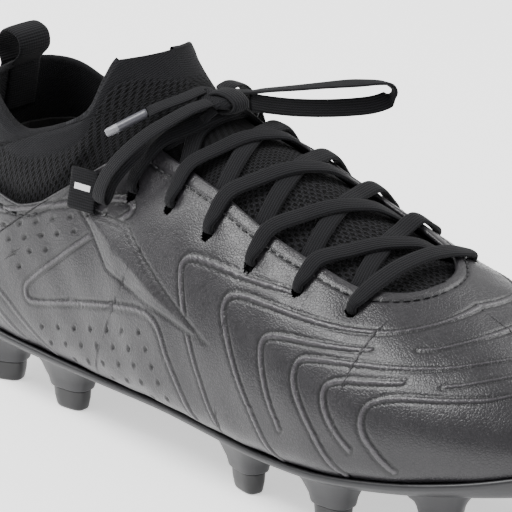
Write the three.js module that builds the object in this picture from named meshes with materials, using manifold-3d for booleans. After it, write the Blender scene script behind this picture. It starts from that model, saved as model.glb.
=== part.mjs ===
// Firm-ground soccer cleat, right foot, size EU 43, with a knitted bootie under a lasted leather skin.
// Millimetres. +X points to the toe, -Y is the outer (lateral) side, +Z is up, and the studs stand on z = 0.
// The upper pieces are shells cut from one last: a lofted foot form that can be grown or shrunk by any offset.
import * as THREE from "three";
import { mergeVertices } from "three/addons/utils/BufferGeometryUtils.js";
import Module from "manifold-3d";

const wasm = await Module();
wasm.setup();

// ---- driving dimensions ---------------------------------------------------------------------------
const SHOE_LENGTH = 280;
const BALL_WIDTH = 99;
const HEEL_WIDTH = 69;
const INSTEP_HEIGHT = 90;
const TOE_SPRING = 10;
const STUD_HEIGHT = 13;
const GAP = 0.3;

const SKIN_THICKNESS = 1.8;
const KNIT_THICKNESS = 2;
const LINING_THICKNESS = 1.5;
const STIFFENER_THICKNESS = 1.2;
const BOARD_THICKNESS = 1;
const SOCKLINER_THICKNESS = 4;

const PLATE_WALL = 1.9;
const PLATE_BASE = 2.9;
const RIB_DEPTH = 1.6;

const LACE_WIDTH = 6;
const LACE_THICKNESS = 1;
const LACE_IN_HOLE = 3;
const EYELET_RADIUS = 2.4;
const EYELET_ROWS = 6;
const TAPE_WIDTH = 14;
const TAPE_THICKNESS = 1.2;

// ---- offsets from the last's surface, outwards positive, worked out from the layers -----------------
const skinIn = -SKIN_THICKNESS;
const stiffenerOut = skinIn - GAP;
const stiffenerIn = stiffenerOut - STIFFENER_THICKNESS;
const knitOut = stiffenerIn - GAP;
const knitIn = knitOut - KNIT_THICKNESS;
const liningOut = knitIn - GAP;
const liningIn = liningOut - LINING_THICKNESS;
const plateIn = GAP + 0.05;
const plateOut = plateIn + PLATE_WALL;
const plateDrop = PLATE_BASE - PLATE_WALL;
const laceUnder = (skinIn + knitOut) / 2;
const laceOver = GAP + LACE_THICKNESS / 2;
const LACE_LIFT = 0.65; // the band bridges the curve of the tongue between the points of its path
const laceOnTongue = knitOut + GAP + LACE_LIFT + LACE_THICKNESS / 2;
const laceOnLace = laceOnTongue + LACE_THICKNESS + GAP;
const SOLE_Z = STUD_HEIGHT + plateOut + plateDrop;

// ---- solids ----------------------------------------------------------------------------------------
function solid(geometry) {
  const bare = geometry.index ? geometry.toNonIndexed() : geometry.clone();
  bare.deleteAttribute("normal");
  bare.deleteAttribute("uv");
  const merged = mergeVertices(bare, 1e-4);
  return new wasm.Manifold(
    new wasm.Mesh({
      numProp: 3,
      vertProperties: new Float32Array(merged.attributes.position.array),
      triVerts: new Uint32Array(merged.index.array),
    }),
  );
}

const joined = (parts) => parts.reduce((whole, part) => whole.add(part));

// The largest body of a cut: the slivers that a cut leaves beside it fall away.
function largest(body) {
  return body.decompose().reduce((best, part) => (part.volume() > best.volume() ? part : best));
}

// A closed loft through rings of equal point counts, with a fan over each end.
function loft(rings) {
  const around = rings[0].length;
  const points = rings.flat();
  const triangles = [];
  for (let i = 0; i + 1 < rings.length; i++) {
    for (let j = 0; j < around; j++) {
      const a = i * around + j;
      const b = i * around + ((j + 1) % around);
      triangles.push(a, b, a + around, b, b + around, a + around);
    }
  }
  for (const [ring, start, turned] of [[rings[0], 0, true], [rings.at(-1), points.length - around, false]]) {
    const centre = ring.reduce((sum, p) => sum.add(p), new THREE.Vector3()).divideScalar(around);
    const tip = points.length;
    points.push(centre);
    for (let j = 0; j < around; j++) {
      const a = start + j;
      const b = start + ((j + 1) % around);
      triangles.push(...(turned ? [b, a, tip] : [a, b, tip]));
    }
  }
  const geometry = new THREE.BufferGeometry().setFromPoints(points);
  geometry.setIndex(triangles);
  return solid(geometry);
}

// A prism from a closed outline of [a, b] points: "side" outlines are [x, z] and run across the shoe,
// "plan" outlines are [x, y] and run up it.
function prism(outline, from, to, view) {
  const shape = new THREE.Shape(outline.map(([a, b]) => new THREE.Vector2(a, b)));
  const geometry = new THREE.ExtrudeGeometry(shape, { depth: to - from, bevelEnabled: false });
  geometry.translate(0, 0, from);
  if (view === "side") geometry.rotateX(Math.PI / 2);
  return solid(geometry);
}

// A smooth open line through chosen [a, b] points.
function smooth(points, steps) {
  const curve = new THREE.SplineCurve(points.map(([a, b]) => new THREE.Vector2(a, b)));
  return curve.getPoints(steps).map((p) => [p.x, p.y]);
}

// ---- the last ----------------------------------------------------------------------------------------
// Each row is one section plane, from above the collar, round the heel and along to the toe.
// low and high are its ends on the heel-and-sole line and on the shin-and-instep line, as shares of the
// length and of the instep height above the sole. Half widths are shares of the local half width.
// wide is how far up the section is widest; the powers square the section off (2 is an ellipse).
const LAST = [
  { low: [0.05, 1.3], high: [0.285, 1.4], out: 0.84, in: 0.84, wide: 0.42, powers: [2.2, 2.2] },
  { low: [0.042, 1.1], high: [0.3, 1.27], out: 0.86, in: 0.86, wide: 0.42, powers: [2.2, 2.2] },
  { low: [0.028, 0.88], high: [0.318, 1.175], out: 0.87, in: 0.87, wide: 0.42, powers: [2.2, 2.2] },
  { low: [0.01, 0.6], high: [0.345, 1.095], out: 0.93, in: 0.91, wide: 0.42, powers: [2.3, 2.2] },
  { low: [0, 0.32], high: [0.37, 1.05], out: 0.99, in: 0.96, wide: 0.4, powers: [2.4, 2.2] },
  { low: [0.018, 0.06], high: [0.39, 1.03], out: 1.01, in: 0.97, wide: 0.38, powers: [2.9, 2.2] },
  { low: [0.09, 0], high: [0.405, 1.015], out: 1.02, in: 0.97, wide: 0.36, powers: [3.6, 2.2] },
  { low: [0.2, 0], high: [0.42, 1.0], out: 1.03, in: 0.97, wide: 0.34, powers: [4, 2.15] },
  { low: [0.31, 0.012], high: [0.44, 0.985], out: 1.04, in: 0.94, wide: 0.32, powers: [4, 2.1] },
  { low: [0.41, 0.02], high: [0.47, 0.96], out: 1.03, in: 0.9, wide: 0.3, powers: [4, 2.05] },
  { low: [0.5, 0.01], high: [0.515, 0.91], out: 0.99, in: 0.86, wide: 0.29, powers: [4, 2.05] },
  { low: [0.6, 0], high: [0.6, 0.8], out: 0.995, in: 0.92, wide: 0.3, powers: [4, 2.05] },
  { low: [0.7, 0.01], high: [0.7, 0.68], out: 1, in: 1, wide: 0.32, powers: [4, 2.1] },
  { low: [0.79, 0.04], high: [0.79, 0.585], out: 0.91, in: 1, wide: 0.34, powers: [3.6, 2.15] },
  { low: [0.87, 0.075], high: [0.87, 0.5], out: 0.72, in: 0.92, wide: 0.37, powers: [3.2, 2.2] },
  { low: [0.925, 0.1], high: [0.925, 0.425], out: 0.51, in: 0.77, wide: 0.4, powers: [2.8, 2.2] },
  { low: [0.962, 0.12], high: [0.962, 0.355], out: 0.31, in: 0.61, wide: 0.44, powers: [2.5, 2.2] },
  { low: [0.985, 0.145], high: [0.985, 0.3], out: 0.12, in: 0.45, wide: 0.47, powers: [2.3, 2.2] },
  { low: [0.9965, 0.18], high: [0.9965, 0.255], out: 0, in: 0.31, wide: 0.5, powers: [2.2, 2.2] },
];
const TABLE_TOE_RISE = 9.9; // how far the table's toe line rises, at this height of instep
const RINGS = 25;
const AROUND = 20;
const CREST_SHIFT = 3; // the instep's crest lies towards the inner side

// Heel width up to a quarter of the length, ball width from half way on.
function localHalfWidth(share) {
  const mix = THREE.MathUtils.smoothstep(share, 0.22, 0.58);
  return THREE.MathUtils.lerp(HEEL_WIDTH, BALL_WIDTH, mix) / 2;
}

const heightAt = (share, x) =>
  SOLE_Z + share * INSTEP_HEIGHT + THREE.MathUtils.smoothstep(x, 0.6, 1) * (TOE_SPRING - TABLE_TOE_RISE);

const stations = LAST.map((row) => {
  const middle = (row.low[0] + row.high[0]) / 2;
  const half = localHalfWidth(middle);
  return [
    row.low[0] * SHOE_LENGTH,
    heightAt(row.low[1], row.low[0]),
    row.high[0] * SHOE_LENGTH,
    heightAt(row.high[1], row.high[0]),
    row.out * half,
    row.in * half,
    row.wide,
    row.powers[0],
    row.powers[1],
  ];
});

// The section's numbers at any place u between the rows, by a Catmull-Rom curve through them.
function stationAt(u) {
  const i = Math.min(Math.floor(u), stations.length - 2);
  const t = u - i;
  const [a, b, c, d] = [i - 1, i, i + 1, i + 2].map(
    (k) => stations[THREE.MathUtils.clamp(k, 0, stations.length - 1)],
  );
  return b.map((_, k) => {
    const slopeB = (c[k] - a[k]) / 2;
    const slopeC = (d[k] - b[k]) / 2;
    const run = c[k] - b[k];
    return b[k] + t * slopeB + t * t * (3 * run - 2 * slopeB - slopeC) + t * t * t * (slopeB + slopeC - 2 * run);
  });
}

// A point of the last: u runs from collar to toe, angle runs round the section from the inner side up.
function lastPoint(u, angle) {
  const [lowX, lowZ, highX, highZ, outer, inner, wide, lowPower, highPower] = stationAt(u);
  const c = Math.cos(angle);
  const s = Math.sin(angle);
  const power = s < 0 ? lowPower : highPower;
  const rise = Math.abs(s) ** (2 / power);
  const up = s < 0 ? wide - wide * rise : wide + (1 - wide) * rise;
  const side = Math.abs(c) ** (2 / power) * (c < 0 ? -outer : inner);
  const crest = s > 0 ? CREST_SHIFT * rise * rise : 0;
  return new THREE.Vector3(lowX + (highX - lowX) * up, side + crest, lowZ + (highZ - lowZ) * up);
}

const U_END = stations.length - 1;

function lastNormal(u, angle) {
  const du = 0.02;
  const da = 0.02;
  const along = lastPoint(Math.min(u + du, U_END), angle).sub(lastPoint(Math.max(u - du, 0), angle));
  const round = lastPoint(u, angle + da).sub(lastPoint(u, angle - da));
  return round.cross(along).normalize();
}

// The small flat nose at the toe faces forwards, and fans out a little from its middle.
const NOSE_FAN = 8;
const noseCentre = lastPoint(U_END, 0).lerp(lastPoint(U_END, Math.PI), 0.5);
function noseNormal(angle) {
  const fan = lastPoint(U_END, angle).sub(noseCentre).divideScalar(NOSE_FAN);
  return fan.add(new THREE.Vector3(1, 0, 0)).normalize();
}

// A corner of the last's mesh, grown by an offset; drop moves the faces that look down further down.
const STEP_U = U_END / (RINGS - 1);
const STEP_ANGLE = (2 * Math.PI) / AROUND;
function corner(i, j, offset, drop = 0) {
  const u = Math.min(i * STEP_U, U_END);
  const angle = (j + 0.5) * STEP_ANGLE;
  const normal = i < RINGS - 1 ? lastNormal(u, angle) : noseNormal(angle);
  const point = lastPoint(u, angle).addScaledVector(normal, offset);
  point.z -= drop * Math.max(0, -normal.z);
  return point;
}

// The whole last, grown by an offset. Inner lasts run on above the top, so a shell stays open there.
function last(offset, drop = 0) {
  const rings = [];
  for (let i = 0; i < RINGS; i++) {
    const ring = [];
    for (let j = 0; j < AROUND; j++) ring.push(corner(i, j, offset, drop));
    if (i === 0) ring.forEach((point) => (point.z -= offset));
    rings.push(ring);
  }
  return loft(rings);
}

// A point on the faces between the corners, so that what lies on a piece clears its flat faces.
function offsetPoint(u, angle, offset) {
  const i = Math.min(Math.floor(u / STEP_U), RINGS - 2);
  const place = angle / STEP_ANGLE - 0.5;
  const j = Math.floor(place);
  const [s, t] = [u / STEP_U - i, place - j];
  const near = corner(i, j, offset).lerp(corner(i, j + 1, offset), t);
  const far = corner(i + 1, j, offset).lerp(corner(i + 1, j + 1, offset), t);
  return near.lerp(far, s);
}

const shell = (outer, inner) => last(outer).subtract(last(inner));

function bisect(f, from, to) {
  let [a, b] = [from, to];
  const rising = f(b) > f(a);
  for (let k = 0; k < 30; k++) {
    const m = (a + b) / 2;
    if (f(m) > 0 === rising) b = m;
    else a = m;
  }
  return (a + b) / 2;
}

// The place on the upper side of the last that lies over a plan point x, y.
function findOver(x, y) {
  let u = 9;
  let angle = Math.PI / 2;
  for (let k = 0; k < 10; k++) {
    angle = bisect((t) => offsetPoint(u, t, 0).y - y, 0.03, Math.PI - 0.03);
    u = bisect((t) => offsetPoint(t, angle, 0).x - x, 0, U_END);
  }
  return [u, angle];
}

// The place on the heel line at height z.
function onHeel(z, offset) {
  const u = bisect((t) => lastPoint(t, -Math.PI / 2).z - z, 0, 5);
  return offsetPoint(u, -Math.PI / 2, offset);
}

// The height of the sole line at x, on the last's own surface.
function soleHeight(x) {
  const u = bisect((t) => lastPoint(t, -Math.PI / 2).x - x, 5, U_END);
  return lastPoint(u, -Math.PI / 2).z;
}

// ---- plan outline of the sole, inset from the last's widest line --------------------------------------
const PLAN_STEPS = 15;
const SIDE_ANGLE = 0.35; // how far under the widest line the outline is taken
const HEEL_RING = 4.4; // the section plane whose back end draws the heel's curve
function planOutline(inset) {
  const places = [];
  for (let k = PLAN_STEPS; k > 0; k--) {
    places.push([HEEL_RING + ((U_END - HEEL_RING) * k) / PLAN_STEPS, Math.PI + SIDE_ANGLE]);
  }
  for (let k = 1; k <= 7; k++) {
    places.push([HEEL_RING, Math.PI + SIDE_ANGLE + ((Math.PI - 2 * SIDE_ANGLE) * k) / 8]);
  }
  for (let k = 1; k <= PLAN_STEPS; k++) {
    places.push([HEEL_RING + ((U_END - HEEL_RING) * k) / PLAN_STEPS, -SIDE_ANGLE]);
  }
  const loop = places.map(([u, angle]) => lastPoint(u, angle));
  const moved = loop.map((p, i) => {
    const before = loop[(i + loop.length - 1) % loop.length];
    const after = loop[(i + 1) % loop.length];
    const along = new THREE.Vector2(after.x - before.x, after.y - before.y).normalize();
    return [p.x + along.y * inset, p.y - along.x * inset];
  });
  // Round the toe the moved points fold over each other: only those a full inset from the edge stay.
  const clear = ([x, y]) => Math.min(...loop.map((p) => Math.hypot(p.x - x, p.y - y))) > 0.97 * inset;
  return moved.filter(clear);
}

// A turn about a line along the shoe at height z, as the matrix that manifold-3d takes.
function tilt(angle, z) {
  const matrix = new THREE.Matrix4().makeTranslation(0, 0, z);
  matrix.multiply(new THREE.Matrix4().makeRotationX(-angle));
  matrix.multiply(new THREE.Matrix4().makeTranslation(0, 0, -z));
  return matrix.elements;
}

// ---- cutting lines of the upper -----------------------------------------------------------------------
const TOP = 400;
const collarHeights = {
  heel: SOLE_Z + INSTEP_HEIGHT * 0.985,
  ankle: SOLE_Z + INSTEP_HEIGHT * 0.835,
  tongue: SOLE_Z + INSTEP_HEIGHT * 1.22,
};
const knitLine = smooth(
  [
    [-0.1 * SHOE_LENGTH, collarHeights.heel + 2],
    [0.04 * SHOE_LENGTH, collarHeights.heel],
    [0.1 * SHOE_LENGTH, collarHeights.ankle + 6],
    [0.16 * SHOE_LENGTH, collarHeights.ankle],
    [0.22 * SHOE_LENGTH, collarHeights.ankle + 5],
    [0.256 * SHOE_LENGTH, collarHeights.ankle + 12],
    [0.27 * SHOE_LENGTH, collarHeights.tongue - 11],
    [0.284 * SHOE_LENGTH, collarHeights.tongue - 3],
    [0.315 * SHOE_LENGTH, collarHeights.tongue],
    [0.36 * SHOE_LENGTH, collarHeights.tongue + 1],
  ],
  22,
);
const COLLAR_TILT = 0.09; // the collar's inner side sits a little lower than its outer side
const knitCut = prism(
  [...knitLine, [0.7 * SHOE_LENGTH, TOP], [-0.1 * SHOE_LENGTH, TOP]],
  -100,
  100,
  "side",
).transform(tilt(COLLAR_TILT, collarHeights.ankle));

const skinHeights = {
  heel: SOLE_Z + INSTEP_HEIGHT * 0.69,
  ankle: SOLE_Z + INSTEP_HEIGHT * 0.6,
  corner: SOLE_Z + INSTEP_HEIGHT * 0.93,
};
const EYESTAY_TOP = 0.3; // where the leather's top corner comes, as a share of the length
const skinLine = smooth(
  [
    [-0.1 * SHOE_LENGTH, skinHeights.heel + 1],
    [0.01 * SHOE_LENGTH, skinHeights.heel],
    [0.08 * SHOE_LENGTH, skinHeights.ankle + 5],
    [0.14 * SHOE_LENGTH, skinHeights.ankle + 1],
    [0.18 * SHOE_LENGTH, skinHeights.ankle],
    [0.225 * SHOE_LENGTH, skinHeights.ankle + 6],
    [0.27 * SHOE_LENGTH, skinHeights.corner - 10],
    [EYESTAY_TOP * SHOE_LENGTH, skinHeights.corner],
    [(EYESTAY_TOP + 0.015) * SHOE_LENGTH, skinHeights.corner + 12],
  ],
  20,
);
const skinCut = prism(
  [...skinLine, [(EYESTAY_TOP + 0.015) * SHOE_LENGTH, TOP], [-0.1 * SHOE_LENGTH, TOP]],
  -100,
  100,
  "side",
);

// The throat: the leather is open over the tongue between the two rows of eyelets. Its half width is a
// share of half the ball width at a share of the length, down to its round lower end.
const THROAT_LINE = [
  [0.2, 0.37],
  [0.36, 0.4],
  [0.45, 0.47],
  [0.54, 0.505],
  [0.625, 0.475],
  [0.68, 0.425],
  [0.713, 0.29],
  [0.728, 0.14],
  [0.732, 0],
];
const EYELET_FROM_EDGE = 8.2;
const throatLine = smooth(
  THROAT_LINE.map(([share, half]) => [share * SHOE_LENGTH, (half * BALL_WIDTH) / 2]),
  17,
);
function throatHalf(x) {
  const after = throatLine.findIndex(([place]) => place > x);
  const [[fromX, fromHalf], [toX, toHalf]] = [throatLine[after - 1], throatLine[after]];
  return THREE.MathUtils.mapLinear(x, fromX, toX, fromHalf, toHalf);
}
function throatOutline() {
  const outer = throatLine.map(([x, half]) => [x, THROAT_CENTRE - half]);
  const inner = throatLine.slice(0, -1).map(([x, half]) => [x, THROAT_CENTRE + half]);
  return [...outer, ...inner.reverse()];
}
const THROAT_CENTRE = 0;
const throatCut = prism(throatOutline(), SOLE_Z + 15, TOP, "plan");

// Eyelet i of a side (-1 outer, 1 inner), row 0 nearest the ankle.
const EYELET_FIRST = 0.343 * SHOE_LENGTH;
const EYELET_LAST = 0.69 * SHOE_LENGTH;
const eyeletPitch = (EYELET_LAST - EYELET_FIRST) / (EYELET_ROWS - 1);
function eyelet(side, row) {
  const x = EYELET_FIRST + eyeletPitch * row;
  return [x, THROAT_CENTRE + side * (throatHalf(x) + EYELET_FROM_EDGE)];
}

function punch(side, row) {
  const [u, angle] = findOver(...eyelet(side, row));
  const normal = lastNormal(u, angle);
  const tool = new THREE.CylinderGeometry(EYELET_RADIUS, EYELET_RADIUS, 8, 6);
  tool.applyQuaternion(new THREE.Quaternion().setFromUnitVectors(new THREE.Vector3(0, 1, 0), normal));
  const centre = offsetPoint(u, angle, skinIn / 2);
  tool.translate(centre.x, centre.y, centre.z);
  return solid(tool);
}

// ---- upper pieces --------------------------------------------------------------------------------------
const LASTING_MARGIN = 13;
const soleWindow = (inset) => prism(planOutline(inset), SOLE_Z - 20, SOLE_Z + 30, "plan");

function makeSkin() {
  let skin = shell(0, skinIn).subtract(skinCut).subtract(throatCut).subtract(soleWindow(LASTING_MARGIN));
  for (const side of [-1, 1]) {
    for (let row = 0; row < EYELET_ROWS; row++) skin = skin.subtract(punch(side, row));
  }
  return skin;
}

function makeBootie() {
  return shell(knitOut, knitIn).subtract(knitCut).subtract(soleWindow(LASTING_MARGIN + 3));
}

const COUNTER_LENGTH = 72;
function makeCounter() {
  const top = SOLE_Z + INSTEP_HEIGHT * 0.47;
  const outline = [
    [-20, SOLE_Z + 9],
    [COUNTER_LENGTH, SOLE_Z + 9],
    [COUNTER_LENGTH - 8, SOLE_Z + 20],
    [COUNTER_LENGTH * 0.6, top - 6],
    [COUNTER_LENGTH * 0.35, top],
    [-20, top],
  ];
  return shell(stiffenerOut, stiffenerIn).intersect(prism(outline, -100, 100, "side"));
}

function makeHeelLining() {
  const top = SOLE_Z + INSTEP_HEIGHT * 0.72;
  const outline = [
    [-20, SOLE_Z + 12],
    [58, SOLE_Z + 12],
    [50, top - 10],
    [35, top],
    [-20, top],
  ];
  return shell(liningOut, liningIn).intersect(prism(outline, -100, 100, "side"));
}

const PUFF_LENGTH = 42;
function makePuff() {
  const back = SHOE_LENGTH - PUFF_LENGTH;
  const floor = soleHeight(back + 15) + 9;
  const outline = [
    [back + 6, floor],
    [SHOE_LENGTH + 20, floor],
    [SHOE_LENGTH + 20, floor + 60],
    [back, floor + 60],
    [back - 4, floor + 20],
  ];
  return shell(stiffenerOut, stiffenerIn).intersect(prism(outline, -100, 100, "side"));
}

// A layer that lies on the sole side of an inner last and follows its curve.
function soleLayer(offset, thickness, inset) {
  return last(offset).subtract(last(offset, -thickness)).intersect(soleWindow(inset));
}

// ---- outsole plate and studs ---------------------------------------------------------------------------
// Each stud: place along the length, place across, blade length, blade width and its turn in degrees.
const STUD_ROWS = [
  ["stud_heel_lateral_rear", 0.098, -20.5, 14.5, 9.5, 22],
  ["stud_heel_medial_rear", 0.098, 19.5, 14.5, 9.5, -22],
  ["stud_heel_lateral_front", 0.222, -23.5, 15, 9, 4],
  ["stud_heel_medial_front", 0.222, 21.5, 15, 9, -4],
  ["stud_forefoot_lateral_rear", 0.548, -33, 14.5, 9, -14],
  ["stud_forefoot_medial_rear", 0.572, 28, 14.5, 9, 20],
  ["stud_forefoot_lateral_mid", 0.69, -35.5, 14.5, 9, 4],
  ["stud_forefoot_medial_mid", 0.705, 35, 14.5, 9, 6],
  ["stud_forefoot_lateral_front", 0.822, -26, 13.5, 8.5, 26],
  ["stud_forefoot_medial_front", 0.835, 33, 13.5, 8.5, -18],
  ["stud_forefoot_centre", 0.752, 2, 11, 8.5, 0],
];
const TIP_SHARE = 0.56; // how much of the stud is the hard tip
const PEG_DEPTH = 2.4;
const PEG_SHARE = 0.5;
const LEDGE = 0.9;

// A blade outline: a long rounded box, drawn as a squared ellipse.
function bladeRing(length, width, z, place, turn) {
  const ring = [];
  const sides = 10;
  for (let k = 0; k < sides; k++) {
    const angle = (2 * Math.PI * (k + 0.5)) / sides;
    const c = Math.cos(angle);
    const s = Math.sin(angle);
    const x = (Math.sign(c) * Math.abs(c) ** 0.65 * length) / 2;
    const y = (Math.sign(s) * Math.abs(s) ** 0.65 * width) / 2;
    const point = new THREE.Vector3(x, y, 0).applyAxisAngle(new THREE.Vector3(0, 0, 1), turn);
    ring.push(point.add(new THREE.Vector3(place[0], place[1], z)));
  }
  return ring;
}

const studs = STUD_ROWS.map(([name, share, y, length, width, degrees]) => {
  const x = share * SHOE_LENGTH;
  const plateZ = soleHeight(x) - plateOut - plateDrop;
  const foot = plateZ - STUD_HEIGHT < 1 ? 0 : plateZ - STUD_HEIGHT;
  const split = foot + (plateZ - foot) * TIP_SHARE;
  return { name, place: [x, y], plateZ, foot, split, length, width, turn: THREE.MathUtils.degToRad(degrees) };
});

function makeTip({ place, foot, split, length, width, turn }) {
  const body = loft([
    bladeRing(length * 0.72, width * 0.66, foot, place, turn),
    bladeRing(length * 0.8, width * 0.76, foot + 0.9, place, turn),
    bladeRing(length * 0.9, width * 0.9, split, place, turn),
  ]);
  const socket = loft([
    bladeRing(length * PEG_SHARE + 2 * GAP, width * PEG_SHARE + 2 * GAP, split - PEG_DEPTH - GAP, place, turn),
    bladeRing(length * PEG_SHARE + 2 * GAP, width * PEG_SHARE + 2 * GAP, split + 1, place, turn),
  ]);
  return body.subtract(socket);
}

// The flared neck of a stud with the peg that its tip is moulded on to.
function makeNeck({ place, plateZ, split, length, width, turn }) {
  const low = split + GAP;
  const rise = plateZ - low;
  const ring = (grow, z) => bladeRing(length * 0.9 + grow, width * 0.9 + grow, z, place, turn);
  const neck = loft([
    ring(2 * LEDGE, low),
    ring(2 * LEDGE + 1.6, low + rise * 0.5),
    ring(2 * LEDGE + 6, plateZ),
    ring(2 * LEDGE + 9, plateZ + 1.6),
  ]);
  const peg = loft([
    bladeRing(length * PEG_SHARE, width * PEG_SHARE, split - PEG_DEPTH, place, turn),
    bladeRing(length * PEG_SHARE, width * PEG_SHARE, low + 0.5, place, turn),
  ]);
  return neck.add(peg);
}

// A bar in plan from a to b with round ends, for the plate's ribs.
function barOutline(a, b, width) {
  const along = new THREE.Vector2(b[0] - a[0], b[1] - a[1]);
  const heading = along.angle();
  const outline = [];
  for (const [end, turn] of [[b, -Math.PI / 2], [a, Math.PI / 2]]) {
    for (let k = 0; k <= 6; k++) {
      const angle = heading + turn + (Math.PI * k) / 6;
      outline.push([end[0] + (Math.cos(angle) * width) / 2, end[1] + (Math.sin(angle) * width) / 2]);
    }
  }
  return outline;
}

const RIB_WIDTH = 4;
const RIBS = [
  [[0.1, -9], [0.6, -15]],
  [[0.1, 8], [0.6, 13]],
  [[0.2, -9], [0.4, 9]],
  [[0.2, 9], [0.4, -9]],
  [[0.4, -11], [0.6, 12]],
  [[0.4, 11], [0.6, -14]],
  [[0.6, -15], [0.82, 2]],
  [[0.6, 13], [0.82, 2]],
];

// The top edge of the plate's wall, as heights above the sole line along the length.
const RAND_LINE = [
  [-0.1, 7],
  [0.02, 7],
  [0.15, 5.5],
  [0.27, 4],
  [0.42, 2.6],
  [0.6, 4],
  [0.72, 5],
  [0.84, 5.5],
  [0.93, 7],
  [1.1, 11],
];
function makePlate() {
  const line = smooth(
    RAND_LINE.map(([share, height]) => {
      const x = share * SHOE_LENGTH;
      const at = THREE.MathUtils.clamp(x, 0.1 * SHOE_LENGTH, 0.96 * SHOE_LENGTH);
      return [x, soleHeight(at) + height];
    }),
    20,
  );
  const keep = prism([...line, [1.1 * SHOE_LENGTH, -40], [-0.1 * SHOE_LENGTH, -40]].reverse(), -100, 100, "side");
  const hollow = last(plateIn);
  const cup = last(plateOut, plateDrop).intersect(keep);
  const ribBars = joined(
    RIBS.map(([a, b]) => {
      const [from, to] = [a, b].map(([share, y]) => [share * SHOE_LENGTH, y]);
      return prism(barOutline(from, to, RIB_WIDTH), 0, SOLE_Z + 3, "plan");
    }),
  );
  const ribs = last(plateOut, plateDrop + RIB_DEPTH).intersect(ribBars);
  return joined([cup, ribs, ...studs.map(makeNeck)]).subtract(hollow);
}

// ---- lace ------------------------------------------------------------------------------------------------
// A flat band swept along a path. Each knot of the path has a point, the way its face looks, a width and a
// thickness. The band's edge direction is carried along, so it turns over smoothly where it goes through a hole.
function band(path, sides) {
  const rings = [];
  let edge = null;
  path.forEach((knot, i) => {
    const before = path[Math.max(i - 1, 0)].at;
    const after = path[Math.min(i + 1, path.length - 1)].at;
    const along = after.clone().sub(before).normalize();
    const wanted = knot.face.clone().cross(along);
    if (edge === null) edge = wanted.clone().normalize();
    if (wanted.length() > 0.5) {
      wanted.normalize();
      if (wanted.dot(edge) < 0) wanted.negate();
      edge = wanted;
    } else {
      edge = edge.clone().addScaledVector(along, -edge.dot(along)).normalize();
    }
    const face = along.clone().cross(edge);
    const ring = [];
    for (let k = 0; k < sides; k++) {
      const angle = (2 * Math.PI * (k + 0.5)) / sides;
      const c = Math.cos(angle);
      const s = Math.sin(angle);
      const across = (Math.sign(c) * Math.abs(c) ** 0.35 * knot.width) / 2;
      const thick = (Math.sign(s) * Math.abs(s) ** 0.35 * knot.thickness) / 2;
      ring.push(knot.at.clone().addScaledVector(edge, across).addScaledVector(face, thick));
    }
    rings.push(ring);
  });
  return loft(rings);
}

function laceKnot(x, y, offset, width = LACE_WIDTH) {
  const [u, angle] = findOver(x, y);
  return {
    at: offsetPoint(u, angle, offset),
    face: lastNormal(u, angle),
    width,
    thickness: LACE_THICKNESS,
  };
}

// Over the leather to an eyelet, down through it, and back under the leather to the throat's edge.
const HOLE_RUN = 3.2;
const EXIT_SHIFT = -4;
function throughEyelet(side, row) {
  const [x, y] = eyelet(side, row);
  const edge = (at) => THROAT_CENTRE + side * throatHalf(at);
  const middle = (laceOver + laceUnder) / 2;
  const exitX = x + EXIT_SHIFT;
  return [
    laceKnot(x, edge(x) - side * 1.5, laceOver + 0.5),
    laceKnot(x, y - side * HOLE_RUN, laceOver + 0.4, LACE_WIDTH * 0.8),
    laceKnot(x, y - side * 0.6, laceOver + 0.3, LACE_IN_HOLE),
    laceKnot(x, y, middle, LACE_IN_HOLE),
    laceKnot(x, y - side * 0.6, laceUnder, LACE_IN_HOLE),
    laceKnot(x + EXIT_SHIFT / 2, y - side * HOLE_RUN, laceUnder, LACE_WIDTH * 0.8),
    laceKnot(exitX, edge(exitX) + side * 1.5, laceUnder),
    laceKnot(exitX - 1, edge(exitX) - side * 3, laceOnTongue),
  ];
}

// A strand that crosses the tongue between two eyelets; strands that end on the outer side lie on top.
function crossing(fromSide, fromRow, toRow) {
  const toSide = -fromSide;
  const startX = eyelet(fromSide, fromRow)[0] + EXIT_SHIFT;
  const endX = eyelet(toSide, toRow)[0];
  const height = toSide < 0 ? laceOnLace : laceOnTongue;
  return [0.24, 0.42, 0.58, 0.76].map((share) => {
    const x = THREE.MathUtils.lerp(startX, endX, share);
    const y = THROAT_CENTRE + THREE.MathUtils.lerp(fromSide, toSide, share) * throatHalf(x);
    return laceKnot(x, y, height);
  });
}

// One half of the lacing: from the bottom bar, through an eyelet in every row in turn, up to the bow.
function lacingHalf(firstSide) {
  let side = firstSide;
  const path = [];
  for (let row = EYELET_ROWS - 1; row >= 0; row--) {
    path.push(...throughEyelet(side, row));
    if (row > 0) path.push(...crossing(side, row, row - 1));
    side = -side;
  }
  return path;
}

const BOW_X = 0.388 * SHOE_LENGTH;
const BOW_Y = 2;
const BOW_KNOT = [15, 12, 8];
const bowPlace = findOver(BOW_X, BOW_Y);
const bowCentre = offsetPoint(...bowPlace, laceOnLace + LACE_THICKNESS / 2 + 2 * GAP + BOW_KNOT[2] / 2);

function makeBowKnot() {
  const ball = new THREE.SphereGeometry(0.5, 12, 8);
  ball.scale(...BOW_KNOT);
  ball.translate(bowCentre.x, bowCentre.y, bowCentre.z);
  return solid(ball);
}

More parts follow.
